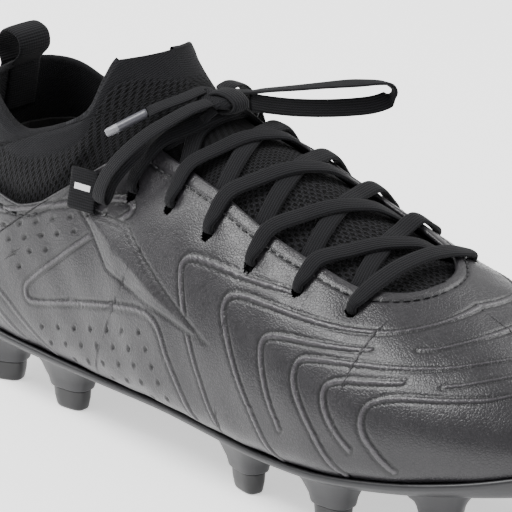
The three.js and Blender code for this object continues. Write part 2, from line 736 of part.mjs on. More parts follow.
function makeLace() {
  const bottom = EYELET_ROWS - 1;
  const bar = [0.25, 0.42, 0.58, 0.75].map((share) => {
    const x = eyelet(-1, bottom)[0];
    const y = THROAT_CENTRE + THREE.MathUtils.lerp(-1, 1, share) * throatHalf(x);
    return laceKnot(x, y, laceOver + 0.6);
  });
  const toBow = (side) => [
    laceKnot(BOW_X - 16.5, BOW_Y + side * 12.5, laceOnTongue + 0.2),
    laceKnot(BOW_X - 12, BOW_Y + side * 9.6, laceOnTongue + 0.8, LACE_WIDTH * 0.8),
    laceKnot(BOW_X - 8, BOW_Y + side * 7.6, laceOnLace + 1.2, LACE_IN_HOLE),
  ];
  const lateral = lacingHalf(-1);
  const medial = lacingHalf(1);
  const path = [...toBow(1).reverse(), ...lateral.reverse(), ...bar, ...medial, ...toBow(-1)];
  return band(path, 4);
}

// The bow's free bands. Each route is a list of points from the bow's centre, chosen by hand, and the way
// that the band's face looks at its start, in the middle and at its end.
const ROUTES = {
  bow_loop_lateral: {
    points: [
      [-2, -6.6, 0.6],
      [-3.5, -13, -0.2],
      [-5.5, -20, -2.6],
      [-8.8, -26.5, -6.2],
      [-12.4, -31.4, -10.8],
      [-16.4, -34.8, -16.4],
      [-19.8, -36.6, -22.2],
      [-21.6, -37.4, -28],
      [-21.8, -36.6, -30.6],
      [-21.4, -35, -29.4],
      [-19.6, -33.4, -23],
      [-16, -31, -16.8],
      [-12.2, -27.6, -11.8],
      [-9, -23, -8],
      [-6.4, -17.4, -4.4],
      [-5, -12, -2.2],
      [-3.6, -7.4, -0.8],
    ],
    faces: [[0, -0.3, 1], [0, -0.9, 0.4], [0.3, 0.3, -1]],
  },
  bow_loop_medial: {
    points: [
      [4, 6.2, -0.8],
      [5, 13, -3.2],
      [6.8, 24, -6.4],
      [9, 36, -9],
      [11.6, 46, -10.4],
      [14.4, 53.5, -10.6],
      [17, 58.6, -9],
      [17.6, 59.8, -6.2],
      [15.4, 57.6, -4],
      [11.6, 50, -3],
      [8, 38, -1.8],
      [5, 27, -0.8],
      [3, 16, 0.6],
      [2, 8, 1.6],
    ],
    faces: [[0.86, 0, 0.4], [0.5, 0.86, 0], [-0.2, 0, 0.98]],
  },
  lace_end_lateral: {
    points: [
      [-9, -1.4, 1.8],
      [-10, -5, 1.6],
      [-10.6, -9.4, 0.8],
      [-12.8, -13.8, -0.4],
      [-15.4, -17.4, -2],
      [-17, -19.4, -3.2],
    ],
    faces: [[0, 0, 1], [0, -0.3, 1], [-0.1, -0.5, 0.8]],
  },
  lace_end_medial: {
    points: [
      [-6.6, 5.6, 1],
      [-9, 11, 1.2],
      [-11, 17.4, -1.2],
      [-12.4, 23, -7],
      [-13.4, 27, -14],
      [-14, 29.4, -19.4],
    ],
    faces: [[0, 0.2, 1], [0, 0.6, 0.8], [0, 0.95, 0.3]],
  },
};
const BAND_SIDES = 8;

const routePoints = (name) =>
  ROUTES[name].points.map(([x, y, z]) => new THREE.Vector3(x, y, z).add(bowCentre));

function makeBand(name) {
  const points = routePoints(name);
  const [first, middle, final] = ROUTES[name].faces.map((face) => new THREE.Vector3(...face));
  const half = (points.length - 1) / 2;
  const path = points.map((at, i) => {
    const face = i < half ? first.clone().lerp(middle, i / half) : middle.clone().lerp(final, i / half - 1);
    return { at, face: face.normalize(), width: LACE_WIDTH, thickness: LACE_THICKNESS };
  });
  return band(path, BAND_SIDES);
}

// A plastic tube crimped on a lace's end, in line with its last stretch.
const AGLET_LENGTH = 15;
const AGLET_RADIUS = 1.7;
function makeAglet(name) {
  const points = routePoints(name);
  const end = points.at(-1);
  const along = end.clone().sub(points.at(-2)).normalize();
  const tube = new THREE.CylinderGeometry(AGLET_RADIUS * 0.85, AGLET_RADIUS, AGLET_LENGTH, 10);
  tube.applyQuaternion(new THREE.Quaternion().setFromUnitVectors(new THREE.Vector3(0, 1, 0), along));
  const centre = end.addScaledVector(along, GAP + AGLET_LENGTH / 2);
  tube.translate(centre.x, centre.y, centre.z);
  return solid(tube);
}

// ---- trim -----------------------------------------------------------------------------------------------
// A tape that follows an [x, z] line in side view and is as wide as the tape across the shoe.
function tapePiece(line) {
  const sides = [TAPE_THICKNESS / 2, -TAPE_THICKNESS / 2].map((shift) =>
    line.map((point, i) => {
      const before = line[Math.max(i - 1, 0)];
      const after = line[Math.min(i + 1, line.length - 1)];
      const along = new THREE.Vector2(after[0] - before[0], after[1] - before[1]).normalize();
      return [point[0] - along.y * shift, point[1] + along.x * shift];
    }),
  );
  return prism([...sides[0], ...sides[1].reverse()], -TAPE_WIDTH / 2, TAPE_WIDTH / 2, "side");
}

const heelEdge = onHeel(collarHeights.heel, (knitOut + knitIn) / 2);
const TAIL_DEPTH = 17;
const TAIL_STEPS = 6;
const outerTail = [];
const innerTail = [];
for (let k = 0; k <= TAIL_STEPS; k++) {
  const z = collarHeights.heel - TAIL_DEPTH * (1 - k / TAIL_STEPS);
  const outside = onHeel(z, knitOut + GAP + TAPE_THICKNESS / 2 + 0.1);
  const inside = onHeel(z, knitIn - GAP - TAPE_THICKNESS / 2 - 1);
  outerTail.push([outside.x, outside.z]);
  innerTail.push([inside.x, inside.z]);
}

// The free arch of the pull tab, which leans on its two sewn tails, as a line from the collar's edge.
const LOOP_RISE = 12;
const LEAN_GAP = 1.5;
const [outerFoot, innerFoot] = [outerTail.at(-1)[0] - heelEdge.x, innerTail.at(-1)[0] - heelEdge.x];
const archLine = smooth(
  [
    [outerFoot, LEAN_GAP],
    [outerFoot - 2.6, 0.4 * LOOP_RISE],
    [outerFoot - 1, 0.85 * LOOP_RISE],
    [(outerFoot + innerFoot) / 2, LOOP_RISE],
    [innerFoot + 2.6, 0.85 * LOOP_RISE],
    [innerFoot + 3.4, 0.45 * LOOP_RISE],
    [innerFoot, LEAN_GAP],
  ],
  18,
).map(([x, z]) => [heelEdge.x + x, collarHeights.heel + z]);

// A woven ribbon folded once, with its two leaves a little apart, sewn in at the leather's top edge.
const FLAG_WIDTH = 11;
const FLAG_LENGTH = 13;
const FLAG_LEAF = 0.8;
const flagPlace = findOver(0.262 * SHOE_LENGTH, (-0.87 * HEEL_WIDTH) / 2);
function makeFlag() {
  const spread = FLAG_LEAF + GAP;
  const shape = new THREE.Shape();
  shape.moveTo(-spread, FLAG_LENGTH);
  shape.lineTo(-spread, 0);
  shape.absarc(0, 0, spread, Math.PI, 2 * Math.PI, false);
  shape.lineTo(spread, FLAG_LENGTH);
  shape.lineTo(GAP / 2, FLAG_LENGTH);
  shape.lineTo(GAP / 2, 0);
  shape.lineTo(-GAP / 2, 0);
  shape.lineTo(-GAP / 2, FLAG_LENGTH);
  shape.closePath();
  const ribbon = new THREE.ExtrudeGeometry(shape, { depth: FLAG_WIDTH, bevelEnabled: false, curveSegments: 4 });
  ribbon.translate(0, -FLAG_LENGTH / 2, -FLAG_WIDTH / 2);
  const [u, angle] = flagPlace;
  const out = lastNormal(u, angle);
  const along = new THREE.Vector3(1, 0, 0).addScaledVector(out, -out.x).normalize();
  const up = along.clone().cross(out).negate().normalize();
  ribbon.applyMatrix4(new THREE.Matrix4().makeBasis(out, up, out.clone().cross(up)));
  const centre = offsetPoint(u, angle, GAP + 0.6 + spread);
  ribbon.translate(centre.x, centre.y, centre.z);
  return solid(ribbon);
}

const PATCH_THICKNESS = 0.5;
function makePatch() {
  const outline = [
    [0.295 * SHOE_LENGTH, -9],
    [0.335 * SHOE_LENGTH, -9],
    [0.335 * SHOE_LENGTH, 12],
    [0.295 * SHOE_LENGTH, 12],
  ];
  const film = shell(knitOut + GAP + PATCH_THICKNESS, knitOut + GAP);
  return film.intersect(prism(outline, SOLE_Z + 40, TOP, "plan"));
}

// ---- assembly ---------------------------------------------------------------------------------------------
const group = new THREE.Group();

function finish(colour, roughness, metalness = 0) {
  return () => new THREE.MeshStandardMaterial({ color: colour, roughness, metalness });
}
const leather = finish(0x45454a, 0.42);
const knit = finish(0x2a2a2c, 0.9);
const plateTpu = finish(0x3a3a3e, 0.45);
const tipTpu = finish(0x1a1a1e, 0.4);
const cord = finish(0x2b2b2d, 0.85);
const board = finish(0x8a8478, 0.9);
const foam = finish(0x303036, 0.9);
const stiffener = finish(0xd8d4c8, 0.8);
const lining = finish(0x1c1c1e, 0.8);
const aglet = finish(0x6a6a70, 0.4);
const film = finish(0x3c3c40, 0.35);

function addPiece(name, body, material) {
  const made = largest(body).getMesh();
  const geometry = new THREE.BufferGeometry();
  geometry.setAttribute("position", new THREE.BufferAttribute(new Float32Array(made.vertProperties), 3));
  geometry.setIndex(new THREE.BufferAttribute(new Uint32Array(made.triVerts), 1));
  geometry.computeVertexNormals();
  const mesh = new THREE.Mesh(geometry, material());
  mesh.name = name;
  group.add(mesh);
}

addPiece("outsole_plate", makePlate(), plateTpu);
for (const stud of studs) addPiece(stud.name, makeTip(stud), tipTpu);
addPiece("upper_skin", makeSkin(), leather);
addPiece("knit_bootie", makeBootie(), knit);
addPiece("heel_counter", makeCounter(), stiffener);
addPiece("toe_puff", makePuff(), stiffener);
addPiece("heel_lining", makeHeelLining(), lining);
addPiece("insole_board", soleLayer(stiffenerOut, BOARD_THICKNESS, 9), board);
addPiece("sockliner", soleLayer(liningOut, SOCKLINER_THICKNESS, 11), foam);
addPiece("lace", makeLace(), cord);
addPiece("lace_knot", makeBowKnot(), cord);
for (const name of Object.keys(ROUTES)) addPiece(name, makeBand(name), cord);
addPiece("aglet_lateral", makeAglet("lace_end_lateral"), aglet);
addPiece("aglet_medial", makeAglet("lace_end_medial"), aglet);
addPiece("pull_tab", tapePiece(archLine), cord);
addPiece("pull_tab_tail_outer", tapePiece(outerTail), cord);
addPiece("pull_tab_tail_inner", tapePiece(innerTail), cord);
addPiece("flag_label", makeFlag(), cord);
addPiece("tongue_patch", makePatch(), film);

// The origin is under the middle of the shoe, on the ground. The free laces don't count.
const box = new THREE.Box3();
for (const mesh of group.children) {
  if (!mesh.name.startsWith("bow_") && !mesh.name.startsWith("lace_end") && !mesh.name.startsWith("aglet")) {
    box.expandByObject(mesh);
  }
}
group.position.set(-(box.min.x + box.max.x) / 2, -(box.min.y + box.max.y) / 2, -box.min.z);

export default group;
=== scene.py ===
# %% [markdown]
# # A football boot, from the last outwards
# A boot is built round a *last*, the solid form that stands in for the foot. Every piece of this one, from
# the knitted sock to the moulded sole, is the last's own surface moved outwards or inwards by a few
# millimetres and cut along a line. So this lesson first makes the last as a formula, then cuts the pieces
# from it, and only then gives each its material.

# %% Load the frame
import math
import bpy
import bmesh
import numpy as np
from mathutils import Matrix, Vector


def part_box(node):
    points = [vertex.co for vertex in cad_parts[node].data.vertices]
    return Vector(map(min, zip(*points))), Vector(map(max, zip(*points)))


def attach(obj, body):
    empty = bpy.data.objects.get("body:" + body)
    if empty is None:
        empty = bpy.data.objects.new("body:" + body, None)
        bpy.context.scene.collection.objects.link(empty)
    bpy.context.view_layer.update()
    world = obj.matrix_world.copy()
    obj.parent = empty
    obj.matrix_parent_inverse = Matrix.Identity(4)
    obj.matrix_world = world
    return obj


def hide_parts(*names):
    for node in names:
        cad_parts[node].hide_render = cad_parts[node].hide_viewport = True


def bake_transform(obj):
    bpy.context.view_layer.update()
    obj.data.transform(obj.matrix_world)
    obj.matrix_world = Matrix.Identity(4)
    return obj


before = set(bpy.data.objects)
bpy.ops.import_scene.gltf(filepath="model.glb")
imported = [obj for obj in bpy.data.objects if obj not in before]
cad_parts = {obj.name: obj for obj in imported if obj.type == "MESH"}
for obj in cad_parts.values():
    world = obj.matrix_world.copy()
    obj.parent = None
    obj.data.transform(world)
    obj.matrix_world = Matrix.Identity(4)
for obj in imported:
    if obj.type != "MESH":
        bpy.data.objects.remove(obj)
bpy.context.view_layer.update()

# %% [markdown]
# The pieces are worked out in millimetres from the back of the heel, which is how a shoemaker measures.
# Blender works in metres from the middle of the shoe, so one function turns the first into the second. Two
# known stud places say how far apart the two origins are.

# %% Shoe millimetres and frame metres
SHOE_LENGTH, BALL_WIDTH, HEEL_WIDTH, INSTEP_HEIGHT = 280.0, 99.0, 69.0, 90.0
STUD_X, STUD_Y = 0.098 * SHOE_LENGTH, -20.5
stud_low, stud_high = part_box("stud_heel_lateral_rear")
ORIGIN = np.array([STUD_X - 500 * (stud_low[0] + stud_high[0]), STUD_Y - 500 * (stud_low[1] + stud_high[1]), 0.0])


def to_frame(points):
    """Millimetres from the heel to metres in the frame."""
    return (np.asarray(points, float) - ORIGIN) / 1000


def to_shoe(point):
    """Metres in the frame to millimetres from the heel."""
    return np.asarray(point, float) * 1000 + ORIGIN


print("the frame's origin is", ORIGIN.round(2), "mm from the heel")

# %% [markdown]
# The camera comes first, because the length of every free cord is judged against what it sees. It stands
# well back with a long lens, as in a studio, in front of the outer side and above it, and its frame crops
# the toe and the heel a little.

# %% Camera
CAMERA_AZIMUTH, CAMERA_ELEVATION = math.radians(44), math.radians(22.5)
CAMERA_DISTANCE, FRAME_WIDTH = 1.667, 0.1668
AIM_RIGHT, AIM_UP = -0.01206, 0.06322
back = Vector((
    math.sin(CAMERA_AZIMUTH) * math.cos(CAMERA_ELEVATION),
    -math.cos(CAMERA_AZIMUTH) * math.cos(CAMERA_ELEVATION),
    math.sin(CAMERA_ELEVATION),
))
camera = bpy.data.objects.new("studio_camera", bpy.data.cameras.new("studio_camera"))
bpy.context.scene.collection.objects.link(camera)
camera.data.sensor_width = 36
camera.data.lens = 36 * CAMERA_DISTANCE / FRAME_WIDTH
right = Vector((math.cos(CAMERA_AZIMUTH), math.sin(CAMERA_AZIMUTH), 0))
aim = right * AIM_RIGHT + right.cross(-back) * AIM_UP
camera.location = back * CAMERA_DISTANCE
camera.rotation_euler = (aim - camera.location).to_track_quat("-Z", "Y").to_euler()
camera.data.clip_end = 20
bpy.context.scene.camera = camera
print("lens", round(camera.data.lens), "mm")

# %% [markdown]
# ## The last
# The last is a stack of closed sections. The first few fan round the heel like the ribs of an umbrella, and
# the rest stand across the foot. Each row gives where a section starts on the heel and sole line, where it
# ends on the shin and instep line, its two half widths, how far up it is widest, and how square it is. A
# smooth curve through the rows gives a section anywhere between. The formula could be replaced by a sculpted
# mesh, but then no piece could be cut at an exact height or moved out by an exact thickness.

# %% The last
SOLE_Z, CREST_SHIFT = 16.25, 3.0
LAST = np.array([
    (0.05, 1.3, 0.285, 1.4, 0.84, 0.84, 0.42, 2.2, 2.2),
    (0.042, 1.1, 0.3, 1.27, 0.86, 0.86, 0.42, 2.2, 2.2),
    (0.028, 0.88, 0.318, 1.175, 0.87, 0.87, 0.42, 2.2, 2.2),
    (0.01, 0.6, 0.345, 1.095, 0.93, 0.91, 0.42, 2.3, 2.2),
    (0.0, 0.32, 0.37, 1.05, 0.99, 0.96, 0.4, 2.4, 2.2),
    (0.018, 0.06, 0.39, 1.03, 1.01, 0.97, 0.38, 2.9, 2.2),
    (0.09, 0.0, 0.405, 1.015, 1.02, 0.97, 0.36, 3.6, 2.2),
    (0.2, 0.0, 0.42, 1.0, 1.03, 0.97, 0.34, 4.0, 2.15),
    (0.31, 0.012, 0.44, 0.985, 1.04, 0.94, 0.32, 4.0, 2.1),
    (0.41, 0.02, 0.47, 0.96, 1.03, 0.9, 0.3, 4.0, 2.05),
    (0.5, 0.01, 0.515, 0.91, 0.99, 0.86, 0.29, 4.0, 2.05),
    (0.6, 0.0, 0.6, 0.8, 0.995, 0.92, 0.3, 4.0, 2.05),
    (0.7, 0.01, 0.7, 0.68, 1.0, 1.0, 0.32, 4.0, 2.1),
    (0.79, 0.04, 0.79, 0.585, 0.91, 1.0, 0.34, 3.6, 2.15),
    (0.87, 0.075, 0.87, 0.5, 0.72, 0.92, 0.37, 3.2, 2.2),
    (0.925, 0.1, 0.925, 0.425, 0.51, 0.77, 0.4, 2.8, 2.2),
    (0.962, 0.12, 0.962, 0.355, 0.31, 0.61, 0.44, 2.5, 2.2),
    (0.985, 0.145, 0.985, 0.3, 0.12, 0.45, 0.47, 2.3, 2.2),
    (0.9965, 0.18, 0.9965, 0.255, 0.0, 0.31, 0.5, 2.2, 2.2),
])


def smoothstep(x, low, high):
    t = np.clip((np.asarray(x, float) - low) / (high - low), 0, 1)
    return t * t * (3 - 2 * t)


def through(rows, u):
    """The numbers at place u between the rows, by a smooth curve through them."""
    i = np.clip(np.floor(u).astype(int), 0, len(rows) - 2)
    t = (u - i)[..., None]
    a, b, c, d = (rows[np.clip(i + k, 0, len(rows) - 1)] for k in (-1, 0, 1, 2))
    leave, arrive, run = (c - a) / 2, (d - b) / 2, c - b
    return b + t * leave + t * t * (3 * run - 2 * leave - arrive) + t**3 * (leave + arrive - 2 * run)


def smooth(points, steps):
    """A smooth line through a few chosen points."""
    points = np.asarray(points, float)
    return through(points, np.linspace(0, len(points) - 1, steps + 1))


SECTIONS = LAST.copy()
half_width = (HEEL_WIDTH + (BALL_WIDTH - HEEL_WIDTH) * smoothstep((LAST[:, 0] + LAST[:, 2]) / 2, 0.22, 0.58)) / 2
SECTIONS[:, [0, 2]] *= SHOE_LENGTH
SECTIONS[:, [1, 3]] = SOLE_Z + LAST[:, [1, 3]] * INSTEP_HEIGHT + 0.1 * smoothstep(LAST[:, [0, 2]], 0.6, 1)
SECTIONS[:, 4:6] *= half_width[:, None]
U_END = len(SECTIONS) - 1
NOSE_BULGE, NOSE_FAN = 0.9, 8.0


def ring_point(u, angle):
    low_x, low_z, high_x, high_z, outer, inner, wide, low_power, high_power = np.moveaxis(through(SECTIONS, u), -1, 0)
    c, s = np.cos(angle), np.sin(angle)
    power = np.where(s < 0, low_power, high_power)
    rise = np.abs(s) ** (2 / power)
    up = np.where(s < 0, wide - wide * rise, wide + (1 - wide) * rise)
    across = np.abs(c) ** (2 / power) * np.where(c < 0, -outer, inner)
    crest = np.where(s > 0, CREST_SHIFT * rise * rise, 0)
    return np.stack([low_x + (high_x - low_x) * up, across + crest, low_z + (high_z - low_z) * up], -1)


nose = (ring_point(np.array(float(U_END)), np.array(0.0)) + ring_point(np.array(float(U_END)), np.array(math.pi))) / 2


def last_point(u, angle):
    """A point of the last. u runs from the collar to the toe, and one past the last section closes the nose."""
    u, angle = np.broadcast_arrays(np.asarray(u, float), np.asarray(angle, float))
    point = ring_point(np.minimum(u, U_END), angle)
    close = np.clip(u - U_END, 0, 1)[..., None]
    bulge = NOSE_BULGE * (1 - (1 - close) ** 2) * np.array([1.0, 0, 0])
    return point + (nose - point) * close + bulge


def last_normal(u, angle):
    """The way out of the last's surface."""
    u, angle = np.broadcast_arrays(np.asarray(u, float), np.asarray(angle, float))
    inside = np.minimum(u, U_END)
    along = last_point(np.minimum(inside + 0.02, U_END), angle) - last_point(np.maximum(inside - 0.02, 0), angle)
    around = last_point(inside, angle + 0.02) - last_point(inside, angle - 0.02)
    normal = np.cross(around, along)
    normal /= np.maximum(np.linalg.norm(normal, axis=-1, keepdims=True), 1e-9)
    fan = (last_point(u, angle) - nose) / NOSE_FAN * np.array([0, 1, 1]) + np.array([1.0, 0, 0])
    fan /= np.linalg.norm(fan, axis=-1, keepdims=True)
    share = smoothstep(u, U_END - 0.8, U_END)[..., None]
    normal = normal * (1 - share) + fan * share
    return normal / np.maximum(np.linalg.norm(normal, axis=-1, keepdims=True), 1e-9)


def offset_point(u, angle, offset, drop=0.0):
    """A point so many millimetres out from the last. drop moves faces that look down further down."""
    normal = last_normal(u, angle)
    point = last_point(u, angle) + normal * np.asarray(offset, float)[..., None]
    point[..., 2] -= drop * np.maximum(0, -normal[..., 2])
    return point


check_width = last_point(12.0, np.array([0.0, math.pi]))[:, 1]
print("ball of the last is", round(float(check_width[0] - check_width[1]), 1), "mm wide")

# %% [markdown]
# A place on the last can be found again from above, as lacing needs, or by going up one side from the middle
# of the sole, as the cutting lines need. Going up is done on a fine fan of steps: the first step that passes
# the line is found, and the exact place is a straight share of that step.

# %% Finding places on the last
SIDES = {"lateral": -1, "medial": 1}


def side_angle(side, climb):
    """Climb 0 is the middle of the sole or the back of the heel, and pi is the crest of the instep."""
    return -math.pi / 2 + side * climb


def climb_to(side, rule, us, steps=500):
    """How far to climb at each u before rule(points) goes above 0."""
    climbs = np.linspace(0, math.pi, steps)
    points = last_point(us[:, None], side_angle(side, climbs)[None, :])
    values = rule(points)
    over = values > 0
    first = np.where(over.any(1), over.argmax(1), steps - 1)
    before = np.maximum(first - 1, 0)
    rows = np.arange(len(us))
    low, high = values[rows, before], values[rows, first]
    share = np.where((high > 0) & (low < 0), -low / np.where(high == low, 1, high - low), 1.0)
    found = climbs[before] + share * (climbs[first] - climbs[before])
    return np.where(first == 0, 0.0, found)


u_grid, a_grid = np.meshgrid(np.linspace(6, U_END, 300), np.linspace(0.02, math.pi - 0.02, 240), indexing="ij")
top_grid = last_point(u_grid, a_grid)


def find_over(x, y):
    """The place (u, angle) on the upper side that lies over x, y."""
    away = (top_grid[..., 0] - x) ** 2 + (top_grid[..., 1] - y) ** 2
    i, j = np.unravel_index(away.argmin(), away.shape)
    place = np.array([u_grid[i, j], a_grid[i, j]])
    for _ in range(5):
        here = last_point(*place)[:2]
        du = (last_point(place[0] + 0.01, place[1])[:2] - here) / 0.01
        da = (last_point(place[0], place[1] + 0.01)[:2] - here) / 0.01
        step = np.linalg.solve(np.stack([du, da], 1), np.array([x, y]) - here)
        place = place + np.clip(step, -0.2, 0.2)
    return place


def over(x, y, offset):
    """A point so far out from the last over x, y, and the way the surface faces there."""
    u, angle = find_over(x, y)
    normal = last_normal(u, angle)
    return last_point(u, angle) + normal * offset, normal


heel_us = np.linspace(0, U_END, 2000)
centre_line = last_point(heel_us, -math.pi / 2)
sole_part = heel_us > 5.2


def sole_height(x):
    return np.interp(x, centre_line[sole_part, 0], centre_line[sole_part, 2])


print("sole at the ball is", round(float(sole_height(196)), 1), "mm up")

# %% [markdown]
# ## The cutting lines
# A pattern cutter draws the pieces' edges on the last. Here each edge is a line in side view, as a height
# along the length, except the throat, which is a half width seen from above.

# %% Cutting lines
COLLAR_HEEL, COLLAR_ANKLE, COLLAR_TONGUE = (SOLE_Z + INSTEP_HEIGHT * share for share in (0.985, 0.835, 1.22))
LEATHER_HEEL, LEATHER_ANKLE, LEATHER_CORNER = (SOLE_Z + INSTEP_HEIGHT * share for share in (0.69, 0.6, 0.93))
COLLAR_TILT, EYESTAY_TOP = 0.09, 0.3


def side_line(rows, steps=60):
    """Rows of (share of the length, height) as a smooth line in millimetres."""
    rows = np.array(rows, float)
    rows[:, 0] *= SHOE_LENGTH
    return smooth(rows, steps)


COLLAR_LINE = side_line([
    (-0.1, COLLAR_HEEL + 2), (0.04, COLLAR_HEEL), (0.1, COLLAR_ANKLE + 6), (0.16, COLLAR_ANKLE),
    (0.22, COLLAR_ANKLE + 5), (0.256, COLLAR_ANKLE + 12), (0.27, COLLAR_TONGUE - 11), (0.284, COLLAR_TONGUE - 3),
    (0.315, COLLAR_TONGUE), (0.36, COLLAR_TONGUE + 1),
])
LEATHER_LINE = side_line([
    (-0.1, LEATHER_HEEL + 1), (0.01, LEATHER_HEEL), (0.08, LEATHER_ANKLE + 5), (0.14, LEATHER_ANKLE + 1),
    (0.18, LEATHER_ANKLE), (0.225, LEATHER_ANKLE + 6), (0.27, LEATHER_CORNER - 10), (EYESTAY_TOP, LEATHER_CORNER),
    (EYESTAY_TOP + 0.015, LEATHER_CORNER + 12), (EYESTAY_TOP + 0.03, LEATHER_CORNER + 60),
])
THROAT_LINE = side_line([
    (0.2, 0.37), (0.36, 0.4), (0.45, 0.47), (0.54, 0.505), (0.625, 0.475), (0.68, 0.425), (0.713, 0.29),
    (0.728, 0.14), (0.732, 0),
]) * np.array([1, BALL_WIDTH / 2])
RAND_LINE = side_line([
    (-0.1, 7), (0.02, 7), (0.15, 5.5), (0.27, 4), (0.42, 2.6), (0.6, 4), (0.72, 5), (0.84, 5.5), (0.93, 7),
    (1.1, 11),
])
EYELET_ROWS, EYELET_FROM_EDGE = 6, 8.2
EYELET_FIRST, EYELET_LAST = 0.343 * SHOE_LENGTH, 0.69 * SHOE_LENGTH


def throat_half(x):
    return np.interp(x, THROAT_LINE[:, 0], THROAT_LINE[:, 1], right=-5)


def leather_rule(points):
    """Above 0 where the leather is cut away: over the ankle line, or in the throat."""
    x, y, z = np.moveaxis(points, -1, 0)
    above = z - np.interp(x, LEATHER_LINE[:, 0], LEATHER_LINE[:, 1])
    upper = z > SOLE_Z + 25 + 0.1 * x
    in_throat = np.where(upper & (x > 50), throat_half(x) - np.abs(y), -50)
    return np.maximum(above, in_throat)


def collar_rule(points):
    x, y, z = np.moveaxis(points, -1, 0)
    return z + y * math.tan(COLLAR_TILT) - np.interp(x, COLLAR_LINE[:, 0], COLLAR_LINE[:, 1])


def rand_rule(lower=0.0):
    """Above 0 over the plate's top edge, or a little under that edge."""
    def rule(points):
        x, _, z = np.moveaxis(points, -1, 0)
        floor = sole_height(np.clip(x, 0.1 * SHOE_LENGTH, 0.96 * SHOE_LENGTH))
        return z - floor - np.interp(x, RAND_LINE[:, 0], RAND_LINE[:, 1]) + lower
    return rule


def eyelet(side, row):
    x = EYELET_FIRST + (EYELET_LAST - EYELET_FIRST) * row / (EYELET_ROWS - 1)
    return x, side * (float(throat_half(x)) + EYELET_FROM_EDGE)


print("first eyelet at", np.round(eyelet(-1, 0), 1), "last at", np.round(eyelet(-1, EYELET_ROWS - 1), 1))

# %% [markdown]
# ## Sheets cut from the last
# Each upper piece is made as two half sheets, outer side and inner side, that meet at the back of the heel
# and along the crest. A half sheet is a grid: its rows are sections of the last, and its columns are spread
# evenly between a lower and an upper edge, so that a vertex lies exactly on every cut edge. Cutting a mesh
# with booleans would leave ragged slivers there instead.

# %% Half sheets
def even_rows(start, end, spacing, climbs=(0.0, 0.9, 1.7, 2.4)):
    """Places u between two sections, so that rows are about so many millimetres apart where they spread most.
    spacing is a number, or a function of x."""
    us = np.linspace(start, end, 3000)
    points = last_point(us[:, None], side_angle(-1, np.array(climbs))[None, :])
    steps = np.linalg.norm(np.diff(points, axis=0), axis=-1).max(1)
    if callable(spacing):
        steps = steps / spacing(points[1:, 2, 0])
    else:
        steps = steps / spacing
    run = np.concatenate([[0], np.cumsum(steps)])
    return np.interp(np.linspace(0, run[-1], int(run[-1]) + 2), run, us)


def girths(side, us, steps=300):
    """How far round the section each climb is, from the middle of the sole, in millimetres."""
    climbs = np.linspace(0, math.pi, steps)
    points = last_point(us[:, None], side_angle(side, climbs)[None, :])
    lengths = np.linalg.norm(np.diff(points, axis=1), axis=-1)
    return climbs, np.concatenate([np.zeros((len(us), 1)), np.cumsum(lengths, 1)], 1)


def half_sheet(side, us, low, high, columns):
    """Grids of u, climb and girth between two edges, with columns spread evenly."""
    climbs, girth = girths(side, us)
    shares = np.linspace(0, 1, columns)
    climb_rows, girth_rows = [], []
    for row, (a, b) in enumerate(zip(low, high)):
        ends = np.interp([a, b], climbs, girth[row])
        wanted = ends[0] + (ends[1] - ends[0]) * shares
        found = np.interp(wanted, girth[row], climbs)
        found[0], found[-1] = a, b
        climb_rows.append(found)
        girth_rows.append(wanted)
    return np.repeat(us[:, None], columns, 1), np.array(climb_rows), np.array(girth_rows)


def grid_faces(rows, columns, first=0, flip=False):
    i, j = np.meshgrid(np.arange(rows - 1), np.arange(columns - 1), indexing="ij")
    a = first + i * columns + j
    quads = np.stack([a, a + 1, a + columns + 1, a + columns], -1).reshape(-1, 4)
    return quads[:, ::-1] if flip else quads


def make_mesh(name, points, faces, attributes=None, uv=None, weld=2e-6, smooth_faces=True):
    """A mesh object from points in millimetres from the heel."""
    mesh = bpy.data.meshes.new(name)
    mesh.from_pydata(to_frame(points).tolist(), [], [list(map(int, f)) for f in faces])
    for key, values in (attributes or {}).items():
        mesh.attributes.new(key, "FLOAT", "POINT").data.foreach_set("value", np.asarray(values, np.float32))
    if uv is not None:
        corners = np.empty(len(mesh.loops), np.int64)
        mesh.loops.foreach_get("vertex_index", corners)
        layer = mesh.uv_layers.new(name="millimetres")
        layer.data.foreach_set("uv", (np.asarray(uv, float)[corners] / 1000).astype(np.float32).ravel())
    if weld:
        shape = bmesh.new()
        shape.from_mesh(mesh)
        bmesh.ops.remove_doubles(shape, verts=shape.verts, dist=weld)
        bmesh.ops.dissolve_degenerate(shape, edges=shape.edges, dist=1e-7)
        shape.to_mesh(mesh)
        shape.free()
    mesh.polygons.foreach_set("use_smooth", [smooth_faces] * len(mesh.polygons))
    made = bpy.data.objects.new(name, mesh)
    bpy.context.scene.collection.objects.link(made)
    return made


def unit(v):
    return v / np.maximum(np.linalg.norm(v, axis=-1, keepdims=True), 1e-9)


RIM_STEPS = 5


